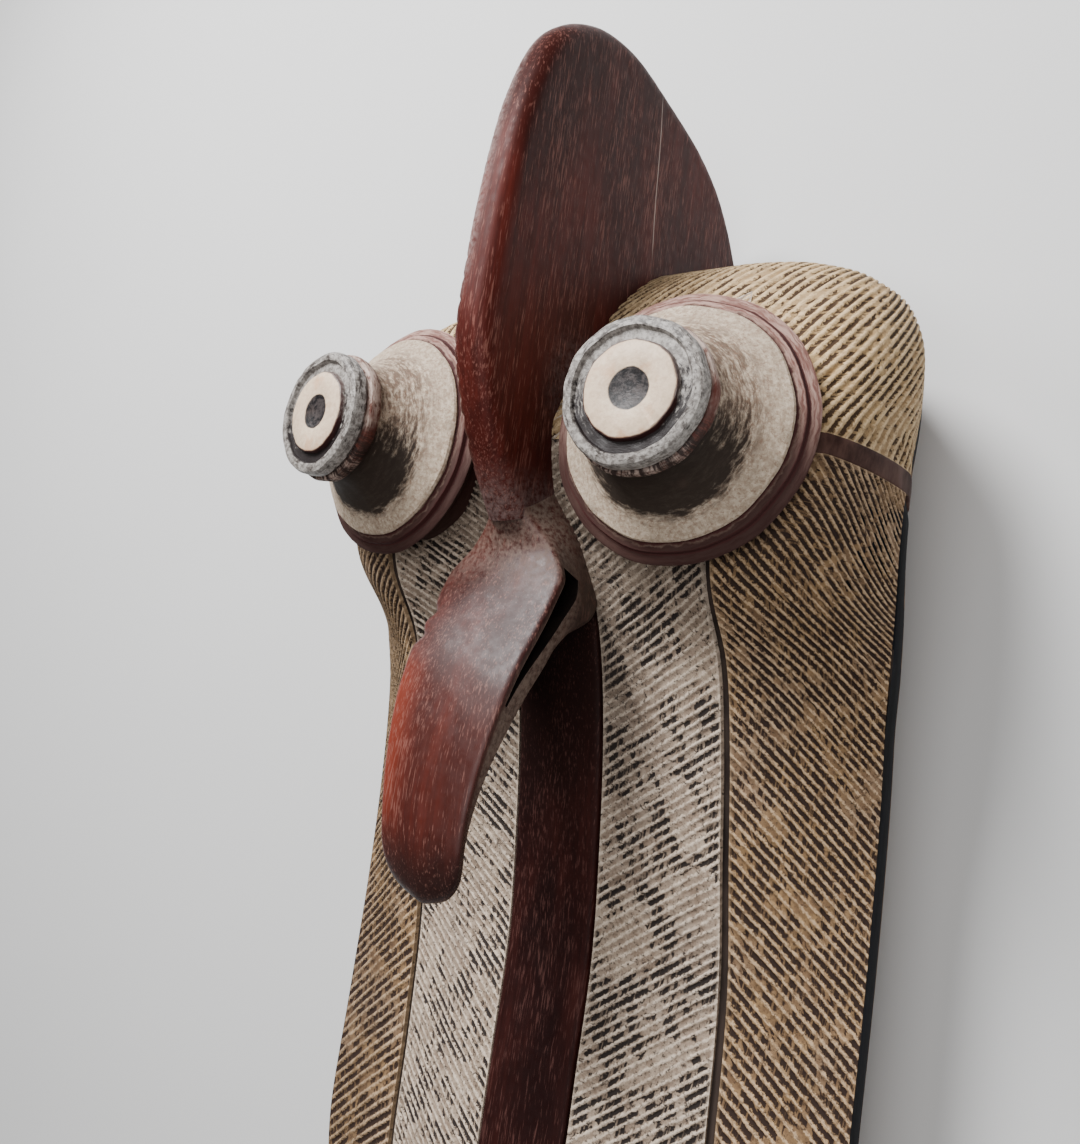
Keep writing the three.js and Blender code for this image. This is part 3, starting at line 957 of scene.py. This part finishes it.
# %% The band and the temple strips
def strap(name, columns, rows, place_at, material, rise, thickness, roundness):
    """A slab over the wood: place_at gives the side, s and y for shares across and along it."""
    piece = block(name, columns, rows)
    u, v, w = corners(piece)
    across = np.sin(u * math.pi / 2)
    side, s, y = place_at(across, (v + 1) / 2)
    proud = rise * np.sqrt(np.maximum(1 - np.abs(across) ** roundness, 0))
    uneven = 0.14 * wobble(s * side, y, 5, 21)
    drop = np.where(w > 0, -(proud + uneven), thickness)
    x_, y_, z_ = on_sheet(s, y) - sheet_normal(s, y) * drop
    place_corners(piece, lay_down(side * np.minimum(x_, temple_half_width), y_, z_))
    dress(piece, material)
    return piece


band_top = -62
band_edge_s = distance_to(lambda y: band_half_width * narrowing(y))


def band_place(across, along):
    y = between(band_top, chin_end, along)
    return np.where(across < 0, -1, 1), np.abs(across) * band_edge_s(y), y


def strip_place(side):
    def place(across, along):
        s = between(58, temple_s + 12, along)
        y = between((strip_top(s) + strip_bottom(s)) / 2, strip_top(s), across)
        return side, s, y
    return place


band = strap("middle_band", 24, 220, band_place, band_wood, band_rise, skin_thickness, 12)
band_y = corners(band)[1] / MM - slide
# The band's top under the nose is painted nearly black: a painted shadow of the nose.
set_tones(band, burnt=0.85 * ramp(band_y, -180, -90))
for side, word in sides:
    strap(f"temple_strip_{word}", 10, 110, strip_place(side), plum_paint, 0.5, skin_thickness, 6)

# %% [markdown]
# The crest and the nose are thick plates with softened edges. Each is a block again:
# its layers go from the plate's edge inwards, and corners near the edge are pulled onto an arc.

# %% Softened edges
plate_smooth_angle = 50


def soften(across, depth, half, soft):
    """Pulls points of a square section onto arcs at its two outer corners."""
    over = np.abs(across) - (half - soft)
    under = soft - depth
    inside = (over > 0) & (under > 0)
    reach = np.hypot(over, under)
    scale = np.where(inside, np.maximum(over, under) / np.maximum(reach, 1e-9), 1)
    new_across = np.where(inside, np.sign(across) * (half - soft + over * scale), across)
    new_depth = np.where(inside, soft - under * scale, depth)
    return new_across, new_depth


# %% The crest
crest_rows = 260
crest_softness = 7.5
spine_depth = 8
scratch_level = -5
spine_levels = np.linspace(-28, 66, 60)
roof_spine = np.stack([spine_levels, face_height(np.zeros(60), spine_levels) - spine_depth], axis=1)
back_depths = np.linspace(20, 64, 20)
back_spine = np.stack([
    face_top - wall_inset(back_depths, face_top) - spine_depth,
    float(face_height(0.0, np.array(face_top))) - back_depths,
], axis=1)
crest_spine = evenly(np.concatenate([roof_spine, back_spine]), crest_rows + 1)


def notches(run, x):
    """Small knife nicks along the left of the crest's front edge."""
    upper = ramp(run, 120, 135) * (1 - ramp(run, 200, 215))
    nick = np.maximum(np.sin(run * 2 * math.pi / 5.2 + 0.8 * np.sin(run / 7)), 0) ** 6
    lower = ramp(run, 15, 30) * (1 - ramp(run, 95, 110))
    chip = np.maximum(np.sin(run * 2 * math.pi / 7.3 + 1.3 * np.sin(run / 9)), 0) ** 3
    on_left = ramp(-x, crest_half_thickness - 4.5, crest_half_thickness - 1)
    return (1.1 * upper * nick + 2.2 * lower * chip) * on_left


def make_crest():
    piece = block("crest", 20, crest_rows, 20)
    u, v, w = corners(piece)
    edge = evenly(smooth_line(crest_edge_points, np.linspace(0, 1, 2000)), crest_rows + 1)
    length = np.linalg.norm(np.diff(edge, axis=0), axis=1).sum()
    row = np.rint((v + 1) / 2 * crest_rows).astype(int)
    run = (v + 1) / 2 * length
    edge_y, edge_z = edge[row].T
    spine_y, spine_z = crest_spine[row].T
    reach = np.hypot(edge_y - spine_y, edge_z - spine_z)
    inward = np.clip((1 - w) / 2, 0, 1)
    depth = reach * inward ** 2.2
    across = crest_half_thickness * np.sin(u * math.pi / 2)
    across, depth = soften(across, depth, crest_half_thickness, crest_softness)
    depth = depth + notches(run, across) * (1 - ramp(depth, 3, 7))
    y = between(edge_y, spine_y, depth / reach)
    z = between(edge_z, spine_z, depth / reach)
    hand = 0.18 * wobble(y, z, 3, 31) + 0.07 * wobble(y, z, 4, 9)
    across = across * (1 + hand / crest_half_thickness) * (1 + 0.03 * ramp(depth, 5, 40))
    x = np.clip(across, -crest_half_thickness, crest_half_thickness)
    place_corners(piece, lay_down(x, y, z))
    at_root = ramp(depth, 30, 66) * (1 - ramp(y, 18, 44))
    at_foot = 1 - ramp(y, -34, -14)
    # A pale band along the front edge's left rounding: some wear, and a painted highlight.
    edge_wear_and_highlight = 0.75 * ramp(-x, -1, 6) * (1 - ramp(depth, 4, 11)) * ramp(y, 30, 60)
    on_right = ramp(x, 4, 9)
    set_tones(
        piece,
        dusty=np.maximum(0.3 * np.maximum(at_root, at_foot), edge_wear_and_highlight),
        # The right face is darkened a little: painted shade.
        burnt=0.2 * on_right * ramp(depth, 2, 9),
        off_line=z - scratch_level + 0.25 * np.sin(y / 9),
        scratched=on_right * ramp(y, 74, 82) * (1 - ramp(y, 140, 150)),
    )
    dress(piece, crest_wood, plate_smooth_angle)


make_crest()

# %% [markdown]
# The nose hooks down from the crest's foot: narrow at the bridge, widest below it, thick at the
# root and thin at the tip. Behind the edge of its face a slit tapers away on each side, cut with
# a boolean as the carver cuts it with a knife. The cut's walls are painted nearly black: painted shade in the
# slit.

# %% The nose
nose_start = -34
nose_length = 138
nose_bridge_height = 65
nose_reach = 37.5
nose_bridge_half_width = 9
nose_half_width = 27
nose_tip_half_width = 18
nose_bulge = 3
nose_root_thickness = 38
nose_middle_thickness = 17
nose_tip_thickness = 6
nose_back_taper = 0.12
nose_softness = 2.2
slit_width = 11.7
slit_depth = 11
slit_behind_face = 3
nose_front_shares = [(0, 0.12), (0.1, 0), (0.23, 0.24), (0.41, 0.66), (0.62, 0.92), (0.84, 1), (1, 0.86)]
nose_points = [
    (nose_start - nose_length * down, nose_bridge_height + nose_reach * out)
    for down, out in nose_front_shares
]
nose_steps = 500
nose_line = evenly(smooth_line(nose_points, np.linspace(0, 1, 1500)), nose_steps + 1)
nose_heading = np.gradient(nose_line, axis=0)
nose_heading /= np.linalg.norm(nose_heading, axis=1)[:, None]


def nose_half_width_at(share):
    shoulders = between(nose_bridge_half_width, nose_half_width, ramp(share, 0, 0.17))
    body = between(shoulders, nose_tip_half_width, ramp(share, 0.25, 1))
    return body * rounded_end((share - 0.86) / 0.1407, 2.3)


def nose_thickness_at(share):
    root = between(nose_root_thickness, nose_middle_thickness, ramp(share, 0.05, 0.3))
    return between(root, nose_tip_thickness, ramp(share, 0.3, 0.9))


def along_nose(table, share):
    """Reads a table that runs down the nose, at shares of the nose's length."""
    steps = np.arange(nose_steps + 1)
    return np.stack([np.interp(share * nose_steps, steps, column) for column in table.T])


def nose_place(share, across, depth):
    place = along_nose(nose_line, share)
    heading = along_nose(nose_heading, share)
    half = nose_half_width_at(share)
    bulge = nose_bulge * np.minimum((across / np.maximum(half, 0.1)) ** 2, 1)
    back = -(bulge + depth)
    return across, place[0] + heading[1] * back, place[1] - heading[0] * back


def make_nose():
    piece = block("nose", 28, 130, 14)
    u, v, w = corners(piece)
    share = np.clip((1 - np.sin(v * math.pi / 2) * 0.35 - v * 0.65) / 2, 0, 1)
    behind = np.clip((1 - w) / 2, 0, 1)
    half = nose_half_width_at(share)
    thickness = nose_thickness_at(share)
    depth = thickness * behind ** 1.3
    soft = np.minimum(nose_softness, np.minimum(half, thickness) / 2 + 0.01)
    across, depth = soften(half * np.sin(u * math.pi / 2), depth, half, soft)
    back_across, back_depth = soften(across, thickness - depth, half, soft)
    across = back_across * (1 - nose_back_taper * behind)
    depth = thickness - back_depth
    depth = between(depth, 0.5 * thickness, 1 - rounded_end((share - 0.93) / 0.0702, 2))
    hand = 0.1 * wobble(across, share * nose_length, 8, 17)
    scallop = np.exp(-((share - 0.275) / 0.022) ** 2) + np.exp(-((share - 0.345) / 0.022) ** 2)
    on_left = ramp(-across / np.maximum(half, 1), 0.72, 1.0) * (1 - ramp(behind, 0.1, 0.5))
    across = across + 2.2 * scallop * on_left
    depth = depth + 1.2 * scallop * on_left
    x, y, z = nose_place(share, across, depth - hand * (1 - behind))
    place_corners(piece, lay_down(x, y, z))
    dress(piece, nose_wood, plate_smooth_angle)
    return piece


def slit_cutter(side):
    piece = block("slit_cutter", 8, 40, 4)
    u, v, w = corners(piece)
    closing = (1 - v) / 2
    share = between(0.124, 0.5, closing)
    half = nose_half_width_at(share)
    floor = half - slit_depth * between(1, 0.4, closing)
    across = side * between(floor, 1.3 * half, (side * u + 1) / 2)
    depth = slit_behind_face + slit_width * between(1, 0.12, closing) * (1 - w) / 2
    place_corners(piece, lay_down(*nose_place(share, across, depth)))
    close_up(piece)
    # The cut's walls take this nearly black material: painted shade.
    piece.data.materials.append(slit_shade_black)
    return piece


nose = make_nose()
for side in (-1, 1):
    cut_away(nose, slit_cutter(side))
close_up(nose, plate_smooth_angle)

# %% The nose's worn tones and painted shade
laid_x, laid_y, laid_z = corners(nose) / MM
flat_y, flat_z = laid_y - slide, laid_z - lift
upright_y = flat_y * math.cos(rim_lean) + flat_z * math.sin(rim_lean)
upright_z = flat_z * math.cos(rim_lean) - flat_y * math.sin(rim_lean)
gap_y = upright_y[:, None] - nose_line[None, :, 0]
gap_z = upright_z[:, None] - nose_line[None, :, 1]
nearest = np.argmin(np.hypot(gap_y, gap_z), axis=1)
share = nearest / nose_steps
each = np.arange(len(share))
behind = nose_heading[nearest, 0] * gap_z[each, nearest] - nose_heading[nearest, 1] * gap_y[each, nearest]
across = laid_x / np.maximum(nose_half_width_at(share), 1)
at_side = ramp(np.abs(behind), nose_bulge + 1.6, nose_bulge + 3.2)
at_bridge = 1 - ramp(share, 0.04, 0.26)
lower = ramp(share, 0.36, 0.5) * (1 - ramp(share, 0.72, 0.9))
left_edge = ramp(-across, 0.35, 0.95)
# Deep behind the face, at the root, the nose is painted nearly black and loses its pale side: painted shade.
in_shadow = ramp(np.abs(behind), 15, 26)
dusty_side = 0.9 * at_side * (1 - 0.7 * ramp(share, 0.6, 0.9)) * (1 - in_shadow)
set_tones(
    nose,
    glow=lower * (0.04 + 0.4 * left_edge) * (1 - at_side),
    # The dark tip, and painted shade at the root.
    burnt=np.maximum(0.85 * ramp(share, 0.78, 0.95), 0.9 * in_shadow),
    dusty=np.maximum(0.5 * at_bridge, dusty_side),
)

# %% [markdown]
# An eye is turned work in look, though it is carved: iris, recess, rounded rim, collar, a flaring
# neck and a stepped flange. It is made as on a lathe: one corner is extruded along the
# profile, and the profile is spun about the eye's axis.

# %% The eyes' sizes
eye_front_height = 99
eye_turn_out = math.radians(7.2)
eye_turn_up = math.radians(6.5)
pupil_radius = 6.8
iris_radius = 16
recess_radius = 20
recess_depth = 2.2
eye_radius = 24.5
eye_rim_length = 6.5
eye_chamfer = 0.9
rim_behind_iris = 0.6
collar_radius = 25.6
collar_length = 5.5
collar_groove = 1.2
neck_radius = 23.5
neck_step = 2
neck_flare = 2.1
lip_radius = 40.5
inner_flange_radius = 44
flange_radius = 47.5
flange_from_front = 38
flange_step = 3
flange_undercut = 9
eye_root_length = 20


def eye_profile():
    """Radius and depth behind the front, from the pupil's middle out and back to the root."""
    outer = flange_from_front + flange_step
    neck_start = eye_rim_length + collar_length + neck_step
    lip_start = flange_from_front - flange_step
    flare = [
        (between(neck_radius, lip_radius, s ** neck_flare), between(neck_start, lip_start, s))
        for s in np.linspace(0, 1, 12)
    ]
    return [
        (pupil_radius - 0.4, 0.2),
        (pupil_radius, 0),
        (iris_radius - 0.8, 0),
        (iris_radius, 0.5),
        (iris_radius + 0.5, recess_depth),
        (recess_radius, recess_depth),
        (recess_radius + 0.5, rim_behind_iris + 0.6),
        (recess_radius + eye_chamfer, rim_behind_iris),
        (eye_radius - 2 * eye_chamfer, rim_behind_iris),
        (eye_radius - 0.6, rim_behind_iris + 0.6),
        (eye_radius, rim_behind_iris + 2 * eye_chamfer),
        (eye_radius, eye_rim_length - 0.6),
        (eye_radius - collar_groove, eye_rim_length + eye_chamfer),
        (collar_radius - 0.4, eye_rim_length + 1.6),
        (collar_radius, eye_rim_length + collar_length / 2),
        (collar_radius - 0.5, eye_rim_length + collar_length),
        *flare,
        (lip_radius + 0.4, lip_start + 1),
        (lip_radius, flange_from_front - eye_chamfer),
        (inner_flange_radius - 1.4, flange_from_front),
        (inner_flange_radius - 0.3, flange_from_front + 0.5),
        (inner_flange_radius, outer - eye_chamfer),
        (flange_radius - 1.4, outer),
        (flange_radius - 0.3, outer + 0.5),
        (flange_radius, outer + eye_chamfer),
        (flange_radius - flange_undercut, outer + eye_chamfer + flange_undercut),
        (flange_radius - flange_undercut, flange_from_front + eye_root_length),
    ]


def make_eye(name, side, material):
    deselect_all()
    bpy.ops.mesh.primitive_plane_add(size=0.01)
    piece = started(name)
    edit_all()
    bpy.ops.mesh.merge(type="CENTER")
    here = Vector((0, 0, 0))
    stops = [*eye_profile(), (0, flange_from_front + eye_root_length)]
    for radius, behind in stops:
        there = Vector((radius, 0, -behind)) * MM
        bpy.ops.mesh.extrude_region_move(TRANSFORM_OT_translate={"value": there - here})
        here = there
    bpy.ops.mesh.select_all(action="SELECT")
    bpy.ops.mesh.spin(steps=112, angle=2 * math.pi, center=(0, 0, 0), axis=(0, 0, 1))
    bpy.ops.mesh.select_all(action="SELECT")
    bpy.ops.mesh.remove_doubles(threshold=1e-6)
    leave_edit()

    x, y, z = corners(piece) / MM
    radius = np.hypot(x, y)
    around = np.arctan2(y, x)
    waver = 0.22 * np.sin(3 * around + side) + 0.16 * np.sin(7 * around + 2 * side)
    waver = waver + 0.1 * np.sin(13 * around)
    swell = 1 + (waver - 0.48) * ramp(radius, pupil_radius, eye_radius) / np.maximum(radius, 1)
    dent = 0.15 * wobble(x, y, 40 + side, 9)
    x, y, z = x * swell, y * swell, z + dent * ramp(radius, 1, 10)
    z = np.minimum(z, 0)
    set_tones(piece, radius=radius, behind=-z, turn_x=np.cos(around), turn_y=np.sin(around))
    out = Vector((
        side * math.sin(eye_turn_out) * math.cos(eye_turn_up),
        math.sin(eye_turn_up),
        math.cos(eye_turn_out) * math.cos(eye_turn_up),
    ))
    aim = np.array(Vector((0, 0, 1)).rotation_difference(out).to_matrix())
    x, y, z = aim @ np.stack([x, y, z])
    place_corners(piece, lay_down(x + side * eye_from_middle, y, z + eye_front_height))
    dress(piece, material, 35)


# %% [markdown]
# One material paints a whole eye, because the mesh carries each point's radius, its depth behind
# the front and its turn about the axis. Rings of colour are steps in the first two, with ragged edges
# from noise. Brushed streaks are a noise in all of them at once, drawn out along the turn. The recess,
# the cone and the flange darken on their lower side, and the cone also to the right: painted shade,
# with dark chips in the recess and dirt on the cone.

# %% Painted eyes
def painted_eye():
    place = new_material("painted_eye", 0.6, gloss=0.25)
    radius, behind, turn_x, turn_y = (tone(name) for name in ("radius", "behind", "turn_x", "turn_y"))
    low = times(turn_y, -1.0)
    rough_edge = minus(noise(place, 260, 4.0), 0.5)
    radius = times_plus(rough_edge, 0.9, radius)
    behind = times_plus(rough_edge, 1.6, behind)
    fine = noise(place, 560, 5.0, 0.7)
    broad = noise(place, 60, 4.0)

    def streaks(length, width, detail=4.0):
        turning = add("ShaderNodeCombineXYZ", {0: turn_x, 1: turn_y})
        sockets = {
            "Vector": stretched(turning.outputs[0], length, length, 1.0),
            "W": times(plus(radius, behind), width),
            "Scale": 1.0, "Detail": detail, "Roughness": 0.68,
        }
        return add("ShaderNodeTexNoise", sockets, noise_dimensions="4D").outputs["Fac"]

    def beyond(value, edge, softness=0.25):
        return spread(value, edge - softness, edge + softness)

    def only(value, start, end, softness=0.25):
        ends = spread(value, end - softness, end + softness, 1.0, 0.0)
        return times(beyond(value, start, softness), ends)

    brushed = streaks(5.0, 0.8)
    scratched = streaks(5.5, 0.5, 7.0)
    pupil = blend(spread(fine, 0.40, 0.62), (0.006, 0.005, 0.006), (0.050, 0.041, 0.040))
    ivory = blend(spread(fine, 0.35, 0.7), (0.70, 0.54, 0.39), (0.56, 0.41, 0.29))
    stains = spread(noise(place, 105, 3.0), 0.54, 0.7, 0.0, 0.45)
    ivory = blend(stains, ivory, (0.52, 0.27, 0.14))
    chips = times_plus(low, -0.04, brushed)
    silver = blend(spread(fine, 0.35, 0.65), (0.125, 0.11, 0.10), (0.37, 0.345, 0.32))
    rim = blend(spread(chips, 0.50, 0.62, 0.0, 0.9), silver, (0.030, 0.022, 0.019))
    # The recess darkens on its lower side, a painted shade, with dark chips from the brushed noise.
    recess_shade_and_chips = times_plus(low, 0.22, brushed)
    recess = blend(spread(recess_shade_and_chips, 0.42, 0.58), silver, (0.016, 0.012, 0.012))
    collar = blend(spread(brushed, 0.45, 0.62), (0.42, 0.32, 0.27), (0.13, 0.06, 0.045))
    patch = times(only(low, -0.2, 0.7, 0.2), spread(broad, 0.36, 0.5, 0.0, 0.9))
    collar = blend(patch, collar, (0.10, 0.019, 0.012))
    teeth = times(spread(streaks(16.0, 0.1), 0.40, 0.56), spread(low, 0.0, 0.6))
    collar = blend(teeth, collar, (0.030, 0.016, 0.013))
    cone = blend(spread(fine, 0.35, 0.65), (0.56, 0.46, 0.355), (0.36, 0.275, 0.20))
    shy_of_lip = spread(behind, 27.0, 33.0, 1.0, 0.2)
    streaks_and_shade = times(spread(scratched, 0.38, 0.58, 0.0, 0.9), shy_of_lip)
    # The dark streaks thicken towards the right: painted shade as well as streaks.
    streaks_and_shade = times(streaks_and_shade, spread(turn_x, -0.7, 0.5, 0.45, 1.0))
    cone = blend(streaks_and_shade, cone, (0.095, 0.058, 0.040))
    flakes = spread(noise(place, 900, 5.0, 0.75), 0.5, 0.62, 0.0, 0.65)
    cone = blend(flakes, cone, (0.21, 0.125, 0.085))
    # Under the rim the cone darkens on its lower and right side: a painted shadow of the rim, with dirt.
    smudge_and_shadow = times_plus(low, 0.6, scratched)
    smudge_and_shadow = times_plus(turn_x, 0.1, smudge_and_shadow)
    smudge_and_shadow = minus(smudge_and_shadow, spread(behind, 26.0, 34.5, 0.0, 0.75))
    cone = blend(spread(smudge_and_shadow, 0.48, 0.86, 0.0, 0.97), cone, (0.022, 0.014, 0.010))
    pink = blend(spread(brushed, 0.40, 0.62), (0.36, 0.23, 0.19), (0.15, 0.066, 0.053))
    # The flange darkens nearly to black on its lower side: painted shade.
    pink = blend(spread(low, -0.5, 0.4, 0.0, 0.95), pink, (0.032, 0.011, 0.009))
    line = (0.045, 0.011, 0.010)

    colour = blend(beyond(radius, pupil_radius), pupil, ivory)
    colour = blend(beyond(radius, iris_radius - 0.3), colour, recess)
    iris_edge = times(only(radius, iris_radius - 0.5, iris_radius + 0.4), 0.7)
    colour = blend(iris_edge, colour, line)
    colour = blend(beyond(radius, recess_radius + 0.6), colour, rim)
    colour = blend(beyond(behind, eye_rim_length + 0.6, 0.5), colour, collar)
    colour = blend(beyond(behind, eye_rim_length + collar_length + 0.8, 0.7), colour, cone)
    colour = blend(beyond(behind, flange_from_front - 0.5, 0.35), colour, pink)
    colour = blend(only(behind, flange_from_front - 1.3, flange_from_front - 0.4, 0.3), colour, line)
    on_flange = beyond(behind, flange_from_front - 0.5, 0.3)
    for start, end in ((40.3, 41.4), (43.5, 44.5)):
        colour = blend(times(only(radius, start, end, 0.2), on_flange), colour, line)
    worn = blend(spread(broad, 0.58, 0.8, 0.0, 0.35), colour, (0.10, 0.06, 0.045))
    gloss = spread(behind, eye_rim_length, eye_rim_length + 3, 0.42, 0.78)
    height = plus(times(brushed, 0.8), times(fine, 0.5))
    return finish_material(worn, gloss, height, 0.45, 0.0004)


eye_paint = painted_eye()
for side, word in sides:
    make_eye(f"eye_{word}", side, eye_paint)

# %% [markdown]
# The mouth is a rounded box with a slot. The picture ends above it, so it is kept plain.

# %% The mouth
mouth_below_eyes = 306
mouth_half_width = 38
mouth_half_height = 22
mouth_corner_radius = 13
mouth_front = 60
mouth_back = 22
mouth_softness = 5
slot_half_width = 26
slot_half_height = 5.5
slot_depth = 12


def bevel_edges(piece, wanted, offset, segments):
    """Bevels the edges whose two ends pass the test."""
    for edge in piece.data.edges:
        edge.select = wanted(*(piece.data.vertices[i].co.z for i in edge.vertices))
    bpy.ops.object.mode_set(mode="EDIT")
    bpy.ops.mesh.bevel(offset=offset * MM, segments=segments, affect="EDGES")
    bpy.ops.mesh.select_all(action="DESELECT")
    leave_edit()


def rounded_plate(name, half_across, half_up, radius, back, front, softness=0):
    """A cube whose four standing edges and front edge are bevelled round."""
    deselect_all()
    bpy.ops.mesh.primitive_cube_add(size=2)
    piece = started(name)
    top = (front - back) / 2 * MM
    bpy.ops.transform.resize(value=(half_across * MM, half_up * MM, top))
    bpy.ops.object.transform_apply(location=False, rotation=False, scale=True)
    bpy.ops.object.mode_set(mode="EDIT")
    bpy.ops.mesh.select_mode(type="EDGE")
    bpy.ops.mesh.select_all(action="DESELECT")
    leave_edit()
    bevel_edges(piece, lambda a, b: abs(a - b) > 1e-6, radius, 10)
    if softness:
        bevel_edges(piece, lambda a, b: min(a, b) > top - 1e-6, softness, 6)
    bpy.ops.object.mode_set(mode="EDIT")
    bpy.ops.mesh.select_mode(type="VERT")
    leave_edit()
    x, y, z = corners(piece) / MM
    place_corners(piece, lay_down(x, y - mouth_below_eyes, z + (front + back) / 2))
    close_up(piece)
    return piece


mouth = rounded_plate(
    "mouth", mouth_half_width, mouth_half_height, mouth_corner_radius,
    mouth_back, mouth_front, mouth_softness,
)
cut_away(mouth, rounded_plate(
    "slot_cutter", slot_half_width, slot_half_height, slot_half_height * 0.98,
    mouth_front - slot_depth, mouth_front + slot_depth,
))
dress(mouth, nose_wood)

# %% [markdown]
# The camera stands where the photograph's did, over the lying mask, with its up towards the crown.
# A pale floor and two broad soft lights keep the shadows gentle, and a small third light from the
# upper left gives the wax its glints.

# %% Camera
camera_place = Vector((0.2552, 0.0166, 0.4470))
camera_aim = Vector((-0.0160, 0.0685, 0.1000))
camera_roll = math.radians(-8.12)
focal_pixels = 1100
image_width, image_height = 1080, 1144

camera_data = bpy.data.cameras.new("camera")
camera = bpy.data.objects.new("camera", camera_data)
bpy.context.scene.collection.objects.link(camera)
look = (camera_aim - camera_place).normalized()
right = look.cross(Vector((0, 1, 0))).normalized()
right = Quaternion(look, camera_roll) @ right
up = right.cross(look)
camera.location = camera_place
camera.rotation_mode = "QUATERNION"
camera.rotation_quaternion = Matrix((right, up, -look)).transposed().to_quaternion()
camera_data.lens = camera_data.sensor_width * focal_pixels / max(image_width, image_height)
camera_data.clip_start = 0.01
bpy.context.scene.camera = camera

# %% Floor and lights
deselect_all()
bpy.ops.mesh.primitive_plane_add(size=6)
floor = bpy.context.object
floor.name = "floor"
place = new_material("floor", 0.8)
floor.data.materials.append(finish_material(blend(noise(place, 3), (0.62, 0.62, 0.62), (0.66, 0.66, 0.66))))


def soft_light(name, place, aim, size, power):
    data = bpy.data.lights.new(name, "AREA")
    data.shape, data.size, data.energy = "DISK", size, power
    light = bpy.data.objects.new(name, data)
    light.location = place
    light.rotation_mode = "QUATERNION"
    light.rotation_quaternion = (Vector(aim) - Vector(place)).to_track_quat("-Z", "Y")
    bpy.context.scene.collection.objects.link(light)


soft_light("key_light", (-0.25, 0.85, 1.0), (0, 0.05, 0.08), 0.5, 30)
soft_light("side_light", (-0.74, 0.76, 0.66), (0, 0.1, 0.14), 0.22, 6)
soft_light("fill_light", (0.45, 0.0, 1.2), (0, -0.05, 0.08), 0.9, 9)
world = bpy.data.worlds.new("studio")
world.use_nodes = True
world.node_tree.nodes["Background"].inputs["Color"].default_value = (1, 0.98, 0.95, 1)
world.node_tree.nodes["Background"].inputs["Strength"].default_value = 0.15
bpy.context.scene.world = world
